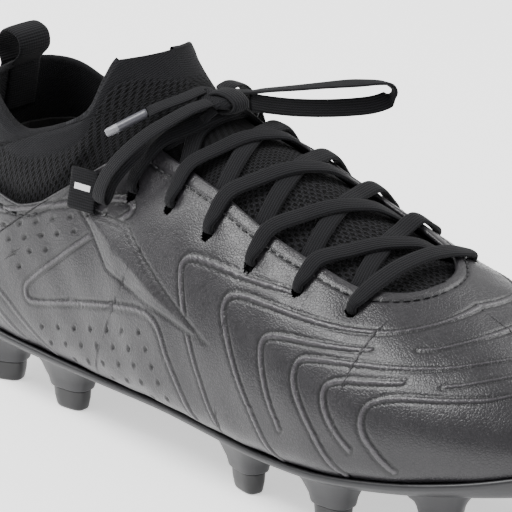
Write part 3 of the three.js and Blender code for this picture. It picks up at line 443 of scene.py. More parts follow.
# %% A sheet with thickness
def shell_piece(name, us, edges, columns, outer, inner, relief=None, drop=0.0, holes=None, close_low=False):
    """A sheet with thickness, from both halves. edges gives (low, high) climbs for a side; outer and inner are
    offsets, as numbers or functions of (points, side); relief(points, u, girth, side) lifts the outer face."""
    points, faces, uv, marks = [], [], [], []
    count = 0
    for word, side in SIDES.items():
        low, high = edges(side)
        wide = columns[word]
        U, C, G = half_sheet(side, us, low, high, wide)
        angle = side_angle(side, C)
        on_last = last_point(U, angle)
        normal = last_normal(U, angle)
        out = outer(on_last, side) if callable(outer) else np.full(U.shape, float(outer))
        lift, mark = relief(on_last, U, G, side) if relief else (np.zeros(U.shape), np.zeros(U.shape))
        top = on_last + normal * (out + lift)[..., None]
        top[..., 2] -= drop * np.maximum(0, -normal[..., 2])
        row_run = np.concatenate([[0], np.cumsum(np.linalg.norm(np.diff(on_last[:, wide // 2], axis=0), axis=-1))])
        coarse = np.linspace(0, wide - 1, max(24, wide // 3)).astype(int)
        under = on_last[:, coarse] + normal[:, coarse] * inner
        grids = [(top, G, mark, side < 0), (under, G[:, coarse], np.zeros(under.shape[:2]), side > 0)]
        ends = [(slice(None), -1)] + ([(slice(None), 0)] if close_low else [])
        for end in ends:
            edge_top, edge_under = top[end], under[end]
            has_edge = (C[end] < math.pi - 1e-4) if end[1] == -1 else (C[end] > 1e-4)
            rows = np.flatnonzero(has_edge)
            if len(rows) < 3:
                continue
            rows = np.arange(rows[0], min(rows[-1] + 2, len(us)))
            along = unit(np.gradient(edge_top[rows], axis=0))
            away = unit(np.cross(along, normal[end][rows])) * (side if end[1] == -1 else -side)
            middle, half = (edge_top[rows] + edge_under[rows]) / 2, (edge_top[rows] - edge_under[rows]) / 2
            turn = np.linspace(0, math.pi, RIM_STEPS + 2)
            thick = np.linalg.norm(half, axis=-1, keepdims=True)
            rim = [middle + half * math.cos(t) + away * thick * math.sin(t) for t in turn]
            rim = np.stack(rim, 1)
            rim_girth = np.repeat(G[end][rows][:, None], RIM_STEPS + 2, 1)
            grids.append((rim, rim_girth, np.zeros(rim.shape[:2]), (side < 0) == (end[1] == -1)))
        for grid, girth, value, flip in grids:
            rows, cols = grid.shape[:2]
            quads = grid_faces(rows, cols, count, flip)
            if holes is not None and grid is not grids[-1][0]:
                centre = grid.reshape(-1, 3)[quads - count].mean(1)
                quads = quads[~holes(centre)]
            faces.append(quads)
            points.append(grid.reshape(-1, 3))
            run = row_run if rows == len(us) else row_run[np.linspace(0, len(us) - 1, rows).astype(int)]
            uv.append(np.stack([np.repeat(run[:, None], cols, 1), girth], -1).reshape(-1, 2))
            marks.append(value.reshape(-1))
            count += rows * cols
    return make_mesh(name, np.concatenate(points), np.concatenate(faces), {"relief": np.concatenate(marks)},
                     np.concatenate(uv))


print("helpers for cut sheets are ready")

# %% [markdown]
# ## The laces' free ends
# The lace is a flat tube, woven in a fine herringbone and pressed to a band 6 mm wide. The two bows and
# their free ends are the only cords that lie loose, so they come next. Each is one length of lace: out of
# the knot, round its loop, back through the knot and down to its end. A band is swept along its points with
# a face direction of its own, because a curve with a flat bevel twists where the path turns over.

# %% Bows and their free ends
LACE_WIDTH, LACE_THICKNESS, AGLET_LENGTH = 6.0, 1.15, 15.0
knot_low, knot_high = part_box("lace_knot")
KNOT = to_shoe((np.array(knot_low) + np.array(knot_high)) / 2)


def band_frames(points, facings):
    """Along, edge and face directions at each point, with the edge carried along without a flip."""
    along = unit(np.gradient(points, axis=0))
    edges = []
    for i, (way, face) in enumerate(zip(along, facings)):
        wanted = np.cross(face, way)
        if i == 0:
            edge = unit(wanted)
        elif np.linalg.norm(wanted) > 0.45:
            edge = unit(wanted) if wanted @ edges[-1] > 0 else -unit(wanted)
        else:
            edge = unit(edges[-1] - way * (edges[-1] @ way))
        edges.append(edge)
    edges = np.array(edges)
    kernel = np.array([1, 2, 3, 2, 1]) / 9
    padded = np.concatenate([edges[:1]] * 2 + [edges] + [edges[-1:]] * 2)
    edges = unit(np.stack([np.convolve(padded[:, k], kernel, "valid") for k in range(3)], 1))
    edges = unit(edges - along * (edges * along).sum(1, keepdims=True))
    return along, edges, np.cross(along, edges)


def swept_band(name, points, facings, widths, thicknesses, around=20, step=0.7, ends=True):
    """A woven band: a rounded flat section swept along chosen points. Returns the object and its centre line."""
    points, facings = np.asarray(points, float), np.asarray(facings, float)
    knots = np.concatenate([points, facings, np.reshape(widths, (-1, 1)), np.reshape(thicknesses, (-1, 1))], 1)
    fine = smooth(knots, 40 * (len(knots) - 1))
    run = np.concatenate([[0], np.cumsum(np.linalg.norm(np.diff(fine[:, :3], axis=0), axis=1))])
    even = np.linspace(0, run[-1], max(8, int(run[-1] / step)))
    path = np.stack([np.interp(even, run, fine[:, k]) for k in range(8)], 1)
    centre = path[:, :3]
    _, edges, faces_out = band_frames(centre, path[:, 3:6])
    turn = 2 * math.pi * (np.arange(around) + 0.5) / around
    c, s = np.cos(turn), np.sin(turn)
    across = np.sign(c) * np.abs(c) ** 0.62 / 2
    thick = np.sign(s) * np.abs(s) ** 0.8 / 2
    rings = (centre[:, None] + edges[:, None] * (across[None, :, None] * path[:, None, 6:7])
             + faces_out[:, None] * (thick[None, :, None] * path[:, None, 7:8]))
    count = len(centre)
    quads = []
    for i in range(count - 1):
        for k in range(around):
            a, b = i * around + k, i * around + (k + 1) % around
            quads.append((a, b, b + around, a + around))
    if ends:
        quads += [tuple(range(around - 1, -1, -1)), tuple((count - 1) * around + k for k in range(around))]
    girth = np.concatenate([[0], np.cumsum(np.hypot(np.diff(across) * LACE_WIDTH, np.diff(thick) * 1.2))])
    uv = np.stack([np.repeat(even[:, None], around, 1), np.repeat(girth[None], count, 0)], -1).reshape(-1, 2)
    made = make_mesh(name, rings.reshape(-1, 3), quads, uv=uv, weld=0)
    return made, centre


LATERAL_LOOP = [
    (-2, -6.6, 0.6), (-3.5, -13, -0.2), (-5.5, -20, -2.6), (-8.8, -26.5, -6.2), (-12.4, -31.4, -10.8),
    (-16.4, -34.8, -16.4), (-19.8, -36.6, -22.2), (-21.6, -37.4, -28), (-21.8, -36.6, -30.6),
    (-21.4, -35, -29.4), (-19.6, -33.4, -23), (-16, -31, -16.8), (-12.2, -27.6, -11.8), (-9, -23, -8),
    (-6.4, -17.4, -4.4), (-5, -12, -2.2), (-3.6, -7.4, -0.8),
]
MEDIAL_LOOP = [
    (4, 6.2, -0.8), (5, 13, -3.2), (6.8, 24, -6.4), (9, 36, -9), (11.6, 46, -10.4), (14.4, 53.5, -10.6),
    (17, 58.6, -9), (17.6, 59.8, -6.2), (15.4, 57.6, -4), (11.6, 50, -3), (8, 38, -1.8), (5, 27, -0.8),
    (3, 16, 0.6), (2, 8, 1.6),
]
LATERAL_END = [
    (-9, -1.4, 1.8), (-10, -5, 1.6), (-10.6, -9.4, 0.8), (-12.8, -13.8, -0.4), (-15.4, -17.4, -2),
    (-17, -19.4, -3.2),
]
MEDIAL_END = [
    (-6.6, 5.6, 1), (-9, 11, 1.2), (-11, 17.4, -1.2), (-12.4, 23, -7), (-13.4, 27, -14), (-14, 29.4, -19.4),
]
LOOP_FACES = {"lateral": [(0, -0.3, 1), (0, -0.9, 0.4), (0.3, 0.3, -1)],
              "medial": [(0.86, 0, 0.4), (0.5, 0.86, 0), (-0.2, 0, 0.98)]}
END_FACES = {"lateral": [(0, 0, 1), (0, -0.3, 1), (-0.1, -0.5, 0.8)],
             "medial": [(0, 0.2, 1), (0, 0.6, 0.8), (0, 0.95, 0.3)]}


def three_faces(faces, count):
    """Face directions for every point of a route from those at its start, middle and end."""
    shares = np.linspace(0, 2, count)
    return unit(np.stack([np.interp(shares, [0, 1, 2], [f[k] for f in faces]) for k in range(3)], 1))


bows = {}
for word, loop, end in (("lateral", LATERAL_LOOP, LATERAL_END), ("medial", MEDIAL_LOOP, MEDIAL_END)):
    points = np.array(loop + end, float) + KNOT
    loop_faces = three_faces(LOOP_FACES[word], len(loop))
    end_faces = three_faces(END_FACES[word], len(end))
    if loop_faces[-1] @ end_faces[0] < 0:
        end_faces = -end_faces
    faces = np.concatenate([loop_faces, end_faces])
    piece, centre = swept_band("bow_" + word, points, faces, [LACE_WIDTH] * len(points),
                               [LACE_THICKNESS] * len(points))
    bows[word] = (piece, centre)
    length = np.linalg.norm(np.diff(centre, axis=0), axis=1).sum()
    print(word, "bow is", round(float(length), 1), "mm of lace")

# %% [markdown]
# ## Finishes
# Every finish is made of nodes, so that it holds at any distance and needs no image file. One function
# turns a colour as people write it into the linear numbers that light adds up in, and one adds a node.
# Patterns take their scale from real sizes in millimetres.

# %% Helpers for finishes
def linear(colour, alpha=1.0):
    """An sRGB hex colour as linear red, green, blue and alpha."""
    parts = [int(colour[k:k + 2], 16) / 255 for k in (1, 3, 5)]
    return (*[p / 12.92 if p <= 0.04045 else ((p + 0.055) / 1.055) ** 2.4 for p in parts], alpha)


def add(tree, kind, inputs=None, **settings):
    """Adds a node. inputs gives values, or sockets to link from, by name or number."""
    made = tree.nodes.new(kind)
    for key, value in settings.items():
        setattr(made, key, value)
    for key, value in (inputs or {}).items():
        if isinstance(value, bpy.types.NodeSocket):
            tree.links.new(value, made.inputs[key])
        else:
            made.inputs[key].default_value = value
    return made


def new_finish(name, **shader):
    """A material with one Principled shader whose constant values sit on its own sockets."""
    made = bpy.data.materials.new(name)
    made.use_nodes = True
    principled = made.node_tree.nodes["Principled BSDF"]
    for key, value in shader.items():
        principled.inputs[key.replace("_", " ")].default_value = value
    return made, made.node_tree, principled


def blend_colours(tree, share, low, high):
    """A colour between two others, by a socket that runs from 0 to 1."""
    mix = add(tree, "ShaderNodeMix", {0: share}, data_type="RGBA")
    for key, value in ((6, low), (7, high)):
        if isinstance(value, bpy.types.NodeSocket):
            tree.links.new(value, mix.inputs[key])
        else:
            mix.inputs[key].default_value = value
    return mix.outputs[2]


def calc(tree, operation, *values):
    return add(tree, "ShaderNodeMath", dict(enumerate(values)), operation=operation).outputs[0]


def spread(tree, value, low, high, to_low=0.0, to_high=1.0):
    return add(tree, "ShaderNodeMapRange", {0: value, 1: low, 2: high, 3: to_low, 4: to_high}).outputs[0]


def surface_millimetres(tree):
    """Along and across coordinates in millimetres, as two sockets, from the piece's own map."""
    where = add(tree, "ShaderNodeUVMap", uv_map="millimetres")
    parts = add(tree, "ShaderNodeSeparateXYZ", {0: where.outputs[0]})
    return calc(tree, "MULTIPLY", parts.outputs[0], 1000.0), calc(tree, "MULTIPLY", parts.outputs[1], 1000.0)


def wave(tree, value, pitch):
    """A smooth wave from 0 to 1 that repeats every so many millimetres."""
    return calc(tree, "MULTIPLY_ADD", calc(tree, "SINE", calc(tree, "MULTIPLY", value, 2 * math.pi / pitch)), 0.5, 0.5)


def bump(tree, height, strength, distance_mm, below=None):
    inputs = {"Height": height, "Strength": strength, "Distance": distance_mm / 1000}
    if below is not None:
        inputs["Normal"] = below
    return add(tree, "ShaderNodeBump", inputs).outputs[0]


print("finish helpers are ready")

# %% [markdown]
# ** Coated leather.** The upper is split leather with a polyurethane film, embossed with a pebble grain. The
# film gives a soft satin gloss that breaks up in the grain, and a dark grey rather than a true black. Grain
# is cells about 1 mm wide, with finer creases between. Painted shade darkens the grooves of the embossed
# lines, the dimples and the rings round the eyelets, and a painted highlight lightens the welts' crests and
# the badge's ridge, both read from the relief stored on each vertex. The crests are also a little less rough.

# %% Coated leather
def coated_leather():
    made, tree, shader = new_finish("polyurethane_coated_leather_embossed", IOR=1.5, Specular_IOR_Level=0.42,
                                    Coat_Weight=0.12, Coat_Roughness=0.35)
    where = add(tree, "ShaderNodeTexCoord").outputs["Object"]
    patches = add(tree, "ShaderNodeTexNoise", {"Vector": where, "Scale": 28.0, "Detail": 3.0, "Roughness": 0.6})
    cells = add(tree, "ShaderNodeTexVoronoi", {"Vector": where, "Scale": 1000 / 1.0}, feature="DISTANCE_TO_EDGE")
    warp = add(tree, "ShaderNodeTexNoise", {"Vector": where, "Scale": 700.0, "Detail": 3.0, "Roughness": 0.65})
    creases = add(tree, "ShaderNodeTexNoise", {"Vector": where, "Scale": 210.0, "Detail": 4.0, "Roughness": 0.7,
                                               "Distortion": 0.8})
    relief = add(tree, "ShaderNodeAttribute", attribute_name="relief").outputs["Fac"]
    tone = blend_colours(tree, spread(tree, patches.outputs[0], 0.3, 0.7), linear("#1f1e21"), linear("#272528"))
    pores = spread(tree, cells.outputs["Distance"], 0.0, 0.16)
    tone = blend_colours(tree, pores, linear("#161518"), tone)
    # painted shade: where the relief value is negative (grooves, dimples, seam, eyelet rings) the colour darkens
    # towards #0b0b0d
    tone = blend_colours(tree, spread(tree, relief, -0.02, -0.18, 0.0, 0.85), tone, linear("#0b0b0d"))
    # painted highlight: where the relief value is positive (welt crests, the badge's ridge) the colour lightens
    # towards #504d51
    tone = blend_colours(tree, spread(tree, relief, 0.08, 0.3, 0.0, 0.55), tone, linear("#504d51"))
    tree.links.new(tone, shader.inputs["Base Color"])
    gloss = calc(tree, "ADD", spread(tree, creases.outputs[0], 0.3, 0.7, 0.27, 0.41),
                 spread(tree, relief, 0.05, 0.3, 0.0, -0.08))
    tree.links.new(gloss, shader.inputs["Roughness"])
    grain = bump(tree, spread(tree, cells.outputs["Distance"], 0.0, 0.22), 0.5, 0.09)
    grain = bump(tree, warp.outputs[0], 0.35, 0.12, grain)
    grain = bump(tree, creases.outputs[0], 0.4, 0.35, grain)
    tree.links.new(grain, shader.inputs["Normal"])
    return made


LEATHER = coated_leather()

# %% [markdown]
# **Warp knit.** The sock is knitted polyester. Its edge is a dense rib with wales about 1.1 mm apart that lean
# over a little, and below the edge it opens into rows of holes about 3.5 mm apart, each held by crossing
# yarns. Polyester yarn is dull with a faint sheen at grazing angles. The vertex value `relief` holds the
# distance from the collar's edge here, so the rib gives way to the open mesh at the right place.

# %% Warp knit
RIB_PITCH, HOLE_PITCH, HOLE_ROW, STITCH_PITCH = 1.15, 3.5, 2.9, 0.9


def warp_knit():
    made, tree, shader = new_finish("warp_knitted_polyester", IOR=1.5, Roughness=0.9, Specular_IOR_Level=0.12,
                                    Sheen_Weight=0.03, Sheen_Roughness=0.5)
    along, up = surface_millimetres(tree)
    edge = add(tree, "ShaderNodeAttribute", attribute_name="relief").outputs["Fac"]
    lean = calc(tree, "MULTIPLY_ADD", up, 0.45, along)
    rib = wave(tree, lean, RIB_PITCH)
    bowed = calc(tree, "ABSOLUTE", calc(tree, "SUBTRACT", rib, 0.5))
    stitch = wave(tree, calc(tree, "MULTIPLY_ADD", bowed, 0.5, up), STITCH_PITCH)
    diagonal_a = calc(tree, "SINE", calc(tree, "MULTIPLY_ADD", along, math.pi / HOLE_PITCH,
                                         calc(tree, "MULTIPLY", up, math.pi / HOLE_ROW)))
    diagonal_b = calc(tree, "SINE", calc(tree, "MULTIPLY_ADD", along, math.pi / HOLE_PITCH,
                                         calc(tree, "MULTIPLY", up, -math.pi / HOLE_ROW)))
    yarns = calc(tree, "MAXIMUM", calc(tree, "ABSOLUTE", diagonal_a), calc(tree, "ABSOLUTE", diagonal_b))
    crossing = calc(tree, "MULTIPLY", calc(tree, "ABSOLUTE", diagonal_a), calc(tree, "ABSOLUTE", diagonal_b))
    hole = spread(tree, crossing, 0.42, 0.68)
    mesh_part = spread(tree, edge, 8.0, 10.0)
    hole = calc(tree, "MULTIPLY", hole, mesh_part)
    fuzz = add(tree, "ShaderNodeTexNoise", {"Vector": add(tree, "ShaderNodeTexCoord").outputs["Object"],
                                            "Scale": 900.0, "Detail": 2.0})
    weave = calc(tree, "ADD", calc(tree, "MULTIPLY", rib, 0.6), calc(tree, "MULTIPLY", stitch, 0.4))
    tone = blend_colours(tree, weave, linear("#0a0a0b"), linear("#242427"))
    tone = blend_colours(tree, spread(tree, fuzz.outputs[0], 0.3, 0.75, 0.0, 0.35), tone, linear("#222224"))
    tone = blend_colours(tree, hole, tone, linear("#020202"))
    tree.links.new(tone, shader.inputs["Base Color"])
    height = calc(tree, "SUBTRACT", calc(tree, "MULTIPLY", weave, 0.4), calc(tree, "MULTIPLY", hole, 1.4))
    height = calc(tree, "ADD", height, calc(tree, "MULTIPLY", calc(tree, "MULTIPLY", yarns, mesh_part), 0.5))
    tree.links.new(bump(tree, height, 0.9, 0.7), shader.inputs["Normal"])
    return made


KNIT = warp_knit()

# %% [markdown]
# **Woven lace and ribbon.** The lace is a flat tube of polyester, woven in a herringbone with ribs along it
# 0.85 mm apart. The heel loop and the flag are grosgrain, whose ribs of 0.9 mm run across. Both are dull,
# with the yarn's faint sheen.

# %% Lace and ribbon
LACE_RIB, LACE_PICK, GROSGRAIN_RIB = 0.85, 1.1, 0.9


def woven_lace():
    made, tree, shader = new_finish("woven_polyester_lace", IOR=1.5, Roughness=0.86, Specular_IOR_Level=0.14,
                                    Sheen_Weight=0.04, Sheen_Roughness=0.45)
    along, across = surface_millimetres(tree)
    column = calc(tree, "PINGPONG", across, LACE_RIB)
    herringbone = wave(tree, calc(tree, "MULTIPLY_ADD", column, 1.6, along), LACE_PICK)
    rib = wave(tree, across, LACE_RIB)
    height = calc(tree, "ADD", calc(tree, "MULTIPLY", rib, 0.65), calc(tree, "MULTIPLY", herringbone, 0.35))
    tone = blend_colours(tree, height, linear("#080809"), linear("#1f1f22"))
    tree.links.new(tone, shader.inputs["Base Color"])
    tree.links.new(bump(tree, height, 0.8, 0.28), shader.inputs["Normal"])
    return made


def grosgrain(name, low, high):
    made, tree, shader = new_finish(name, IOR=1.5, Roughness=0.86, Specular_IOR_Level=0.15, Sheen_Weight=0.04)
    along, across = surface_millimetres(tree)
    rib = wave(tree, along, GROSGRAIN_RIB)
    thread = wave(tree, across, 0.45)
    height = calc(tree, "ADD", calc(tree, "MULTIPLY", rib, 0.8), calc(tree, "MULTIPLY", thread, 0.2))
    tree.links.new(blend_colours(tree, height, linear(low), linear(high)), shader.inputs["Base Color"])
    tree.links.new(bump(tree, height, 0.8, 0.25), shader.inputs["Normal"])
    return made


LACE = woven_lace()
RIBBON = grosgrain("grosgrain_ribbon_black", "#060607", "#18181b")

# %% [markdown]
# ** Moulded plastics.** The sole is thermoplastic polyurethane, moulded against a spark-eroded steel tool, which
# leaves a fine even texture and a low gloss. The stud ends are a harder grade and smoother, and are coloured
# darker, partly as painted shade. The lace tips are acetate film, crimped hot, clear over the last few
# millimetres. The tongue's film is pressed flat.

# %% Moulded plastics
def moulded(name, low, high, roughness, texture_mm, depth_mm, clear=0.0):
    made, tree, shader = new_finish(name, IOR=1.5, Transmission_Weight=clear)
    where = add(tree, "ShaderNodeTexCoord").outputs["Object"]
    cloud = add(tree, "ShaderNodeTexNoise", {"Vector": where, "Scale": 35.0, "Detail": 4.0, "Roughness": 0.6})
    texture = add(tree, "ShaderNodeTexNoise", {"Vector": where, "Scale": 1000 / texture_mm, "Detail": 2.0})
    tree.links.new(blend_colours(tree, spread(tree, cloud.outputs[0], 0.3, 0.7), linear(low), linear(high)),
                   shader.inputs["Base Color"])
    tree.links.new(spread(tree, cloud.outputs[0], 0.3, 0.7, roughness - 0.04, roughness + 0.05),
                   shader.inputs["Roughness"])
    tree.links.new(bump(tree, texture.outputs[0], 0.5, depth_mm), shader.inputs["Normal"])
    return made


PLATE_TPU = moulded("injection_moulded_tpu_spark_eroded", "#161619", "#1c1c1f", 0.4, 0.8, 0.06)
# the stud ends' darker colour is partly a harder grade of plastic and partly painted shade
TIP_TPU = moulded("hard_tpu_stud_end_polished_tool", "#0a0a0c", "#101012", 0.34, 1.2, 0.03)
AGLET = moulded("crimped_acetate_film", "#3e3e43", "#4e4e54", 0.3, 1.5, 0.06)
CLEAR_TIP = moulded("clear_acetate_film", "#a9a9ae", "#bdbdc2", 0.2, 2.0, 0.08, clear=0.6)
FILM = moulded("hot_pressed_film", "#242427", "#2b2b2e", 0.36, 1.6, 0.05)
STIFFENER = moulded("thermoformed_stiffener_sheet", "#cfc9ba", "#ddd8cc", 0.75, 0.9, 0.1)
BOARD = moulded("pressed_fibre_board", "#857e70", "#958d7e", 0.85, 1.4, 0.15)
print(len(bpy.data.materials), "materials so far")

# %% [markdown]
# ## The leather upper
# The leather is the piece that is seen most, so its relief is real geometry: a grid of about half a
# millimetre is moved in and out. The embossed lines are drawn as paths. Lines on the side are given as
# (length, height), and lines that run up over the toes as (length, girth), where girth is measured up from
# the middle of the sole. Each is a raised welt with a fine groove along both of its sides. Small dimples sit
# in rows, and a plain kite-shaped badge with bevelled faces fills the quarter.

# %% Where the leather's lines run
SIDE_LINES = [
    [(-2, 66), (20, 66), (42, 67.5), (67, 75), (90, 82), (97, 82.5), (99, 80.5), (95, 77), (84, 69.5), (68, 57),
     (56, 47), (53, 43), (55, 39.5), (62, 40.5), (76, 44.5), (93, 49), (112, 53.5), (121, 53.5), (126, 50),
     (130, 43), (137, 32), (141, 24)],
]
HEEL_LINES = [
    [(-2, 53), (10, 50.5), (22, 46), (39, 38), (54, 29), (66, 22)],
    [(-2, 45), (10, 43), (22, 39), (36, 32), (50, 23.5)],
]
GIRTH_LINES = [
    [(173, 103), (150, 100), (136, 98.5), (131, 96), (131, 91), (138, 77), (146, 62), (153, 50)],
    [(217, 130), (219, 116), (217, 106), (210, 99), (199, 97.5), (178, 96.5), (160, 95.5), (153, 93), (152, 88),
     (157, 80), (164, 70), (173, 58), (181, 46)],
    [(207, 90.5), (190, 90), (177, 88.5), (171, 86), (171, 81), (176, 71), (183, 60)],
    [(245, 112), (245, 98), (241, 87), (233, 82.5), (220, 83), (205, 85), (191, 85), (186, 82.5), (187, 76),
     (194, 66), (202, 54), (208, 46)],
    [(222, 77), (212, 78.5), (204, 79), (199, 77), (200, 71), (205, 63), (211, 56)],
    [(255, 86), (254, 68), (249, 62.5), (240, 65), (226, 70.5), (218, 71.5), (214, 69), (215, 62), (220, 54),
     (226, 46)],
    [(231, 126), (231, 108), (229, 98), (224, 92.5), (220, 91.5)],
    [(250, 100), (250, 84), (246, 75), (239, 72.5), (234, 73)],
]
DIMPLES = [(42 + 2.5 * r + 7.5 * k, 62 - 5 * r + 0.33 * (2.5 * r + 7.5 * k))
           for r, count in enumerate((7, 5, 3, 1)) for k in range(count)]
DIMPLES += [(x + 9 * k, 32 - 5.8 * r + 0.28 * (x - 62 + 9 * k))
            for r, (x, count) in enumerate(((62, 7), (66, 7), (78, 6), (99, 4), (120, 2))) for k in range(count)]
BADGE_START, BADGE_END, BADGE_HALF, BADGE_SHOULDER = np.array((76.0, 75.5)), np.array((145.0, 53.0)), 7.4, 0.3
BADGE_STEP, BADGE_BEVEL = 0.15, 0.17
WELT_HALF, WELT_HEIGHT, GROOVE_HALF, GROOVE_DEPTH = 0.95, 0.34, 0.42, 0.3
DIMPLE_RADIUS, DIMPLE_DEPTH = 0.85, 0.6
EYELET_RADIUS, EYELET_PUCKER = 2.3, 0.5
STITCH_INSET = 3.1
LEATHER_THICKNESS = 1.8


# %% Distances from a line, and the welt's profile
def distance_to(points, path):
    """The distance of flat points from a path of short straight steps."""
    best = np.full(points.shape[:-1], 1e9)
    for a, b in zip(path[:-1], path[1:]):
        run = b - a
        share = np.clip(((points - a) @ run) / max(run @ run, 1e-9), 0, 1)
        best = np.minimum(best, np.linalg.norm(points - a - share[..., None] * run, axis=-1))
    return best


def near_path(points, path, reach):
    """As distance_to, but only worked out close to the path."""
    far = np.full(points.shape[:-1], 1e9)
    low, high = path.min(0) - reach, path.max(0) + reach
    inside = ((points > low) & (points < high)).all(-1)
    if inside.any():
        far[inside] = distance_to(points[inside], path)
    return far


def welt(distance, x, y):
    """The height of an embossed welt: a slightly rough crest with a groove on each side."""
    rough = 0.8 + 0.2 * np.sin(2.1 * x + 1.3 * y) * np.sin(1.7 * y - 0.9 * x)
    crest = WELT_HEIGHT * rough * (1 - smoothstep(distance, WELT_HALF * 0.6, WELT_HALF))
    groove = GROOVE_DEPTH * np.exp(-(((distance - WELT_HALF - GROOVE_HALF * 0.7) / GROOVE_HALF) ** 2))
    return crest - groove


# %% The relief of the whole leather
eyelet_centres = np.array([over(*eyelet(side, row), 0.0)[0] for side in (-1, 1) for row in range(EYELET_ROWS)])
throat_path = np.concatenate([THROAT_LINE * [1, -1], (THROAT_LINE * [1, 1])[-2::-1]])


def leather_relief(points, u, girth, side):
    x, y, z = np.moveaxis(points, -1, 0)
    side_plan = np.stack([x, z], -1)
    girth_plan = np.stack([x, girth], -1)
    on_side = smoothstep(160 - x, 0, 15)
    lift = np.zeros(x.shape)
    for rows in SIDE_LINES + HEEL_LINES:
        path = smooth(rows, 4 * len(rows))
        amount = on_side * (0.9 if rows in SIDE_LINES else 0.55)
        lift += amount * welt(near_path(side_plan, path, 4), x, z)
    for rows in GIRTH_LINES:
        path = smooth(rows, 5 * len(rows))
        lift += welt(near_path(girth_plan, path, 4), x, girth) * smoothstep(x, 118, 124)
    # the badge is a plain kite with bevelled faces that rise to a ridge along its middle
    axis = BADGE_END - BADGE_START
    span = np.linalg.norm(axis)
    along = (side_plan - BADGE_START) @ axis / span
    from_start = side_plan - BADGE_START
    across = from_start[..., 0] * axis[1] / span - from_start[..., 1] * axis[0] / span
    deep = BADGE_HALF * np.minimum(along / (BADGE_SHOULDER * span), (span - along) / ((1 - BADGE_SHOULDER) * span))
    deep = np.where((x > 60) & (x < 160), deep - np.abs(across), -99)
    lift *= 1 - smoothstep(deep, -1.9, -1.0)
    facet = smoothstep(deep, -0.15, 0.3) * (BADGE_STEP + BADGE_BEVEL * np.clip(deep, 0, 6))
    border = 0.34 * np.exp(-(((deep + 0.45) / 0.4) ** 2)) + 0.16 * np.exp(-(((deep - 1.5) / 0.3) ** 2))
    for a, b in DIMPLES:
        near = (x - a) ** 2 + (z - b) ** 2
        close = near < 9
        if close.any():
            away = np.sqrt(near[close])
            raised_lip = 0.1 * np.exp(-(((away - 1.25) / 0.4) ** 2))
            lift[close] += raised_lip - DIMPLE_DEPTH * np.exp(-((away / DIMPLE_RADIUS) ** 4))
    # mark is painted light for the leather's colour: welt crests give a painted highlight, grooves, dimples and the
    # badge's border give painted shade, and the thin line along the badge's ridge is a painted highlight
    mark = lift - border + 0.1 * np.exp(-((across / 0.4) ** 2)) * (deep > 0.4)
    lift += facet - border
    # the folded edge: a soft roll along every cut, with the stitch line's groove under it
    top_drop = np.interp(x, LEATHER_LINE[:, 0], LEATHER_LINE[:, 1]) - z
    edge = np.where(x < EYESTAY_TOP * SHOE_LENGTH, top_drop, 99)
    plan = np.stack([x, y], -1)
    upper = (x > 84) & (z > SOLE_Z + 25 + 0.1 * x) & (np.abs(y) < 36)
    edge_plan = np.full(x.shape, 99.0)
    edge_plan[upper] = distance_to(plan[upper], throat_path)
    edge = np.minimum(edge, edge_plan)
    seam = -0.32 * np.exp(-(((edge - STITCH_INSET) / 0.55) ** 2)) + 0.12 * np.exp(-(((edge - 1.6) / 1.2) ** 2))
    lift += seam
    # painted shade: the stitch line's groove is darkened in mark as well
    mark += np.minimum(seam, 0) * 0.7
    # soft pull of the lace at each eyelet, and the broad unevenness of leather stretched on a last
    for centre in eyelet_centres:
        away = np.linalg.norm(points - centre, axis=-1)
        lift -= EYELET_PUCKER * np.exp(-((away / 4.6) ** 2))
        # painted shade: a darker ring round each eyelet
        mark -= 0.12 * np.exp(-((away / 3.0) ** 2))
    lift += 0.16 * np.sin(0.11 * x + 0.8) * np.sin(0.13 * girth) + 0.1 * np.sin(0.31 * x + 0.2 * girth + side)
    return lift, mark




# %% Cut the leather
def leather_edges(side):
    high = climb_to(side, leather_rule, leather_us)
    low = climb_to(side, rand_rule(3.5), leather_us)
    return np.minimum(low, high), high


def at_eyelet(points):
    away = np.linalg.norm(points[:, None, :2] - eyelet_centres[None, :, :2], axis=-1)
    return (away.min(1) < EYELET_RADIUS * 0.93) & (points[:, 2] > 50)


start = float(np.interp(-LEATHER_HEEL, -centre_line[heel_us < 5.3, 2], heel_us[heel_us < 5.3]))
SPACING = 0.52


def row_spacing(x):
    return np.where((x > 196) & (x < 208), 0.35, np.where((x > 120) & (x < 262), SPACING, SPACING * 1.35))


leather_us = even_rows(start, U_END + 1, row_spacing)
upper = shell_piece("leather_upper", leather_us, leather_edges,
                    {"lateral": int(78 / SPACING), "medial": int(55 / SPACING)},
                    0.0, -LEATHER_THICKNESS, relief=leather_relief, holes=at_eyelet)
upper.data.materials.append(LEATHER)
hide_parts("upper_skin")
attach(upper, "shoe")
print("leather upper has", len(upper.data.vertices), "vertices in", len(leather_us), "rows")

# %% [markdown]
# ## The knitted sock
# The sock is a second sheet inside the leather. Above the leather's edge it swells out to the padded collar.
# The finish needs to know where the ribbed collar band is, so each vertex stores how far it is below the
# collar's edge.

# %% Where the sock ends
KNIT_OUT, KNIT_IN, COLLAR_SWELL = -3.6, -5.6, 1.9
start = float(np.interp(-COLLAR_HEEL - 1.5, -centre_line[heel_us < 5.3, 2], heel_us[heel_us < 5.3]))
knit_us = even_rows(start, U_END + 1, 1.3)


def climb_down(side, rule, us, steps=600):
    """How far down from the crest the sheet reaches at each u, before rule(points) goes above 0."""
    climbs = np.linspace(math.pi, 0, steps)
    values = rule(last_point(us[:, None], side_angle(side, climbs)[None, :]))
    over = values > 0
    first = np.where(over.any(1), over.argmax(1), 0)
    before = np.maximum(first - 1, 0)
    rows = np.arange(len(us))
    low, high = values[rows, before], values[rows, first]
    share = np.where((high > 0) & (low < 0), -low / np.where(high == low, 1, high - low), 0.0)
    return climbs[before] + share * (climbs[first] - climbs[before])


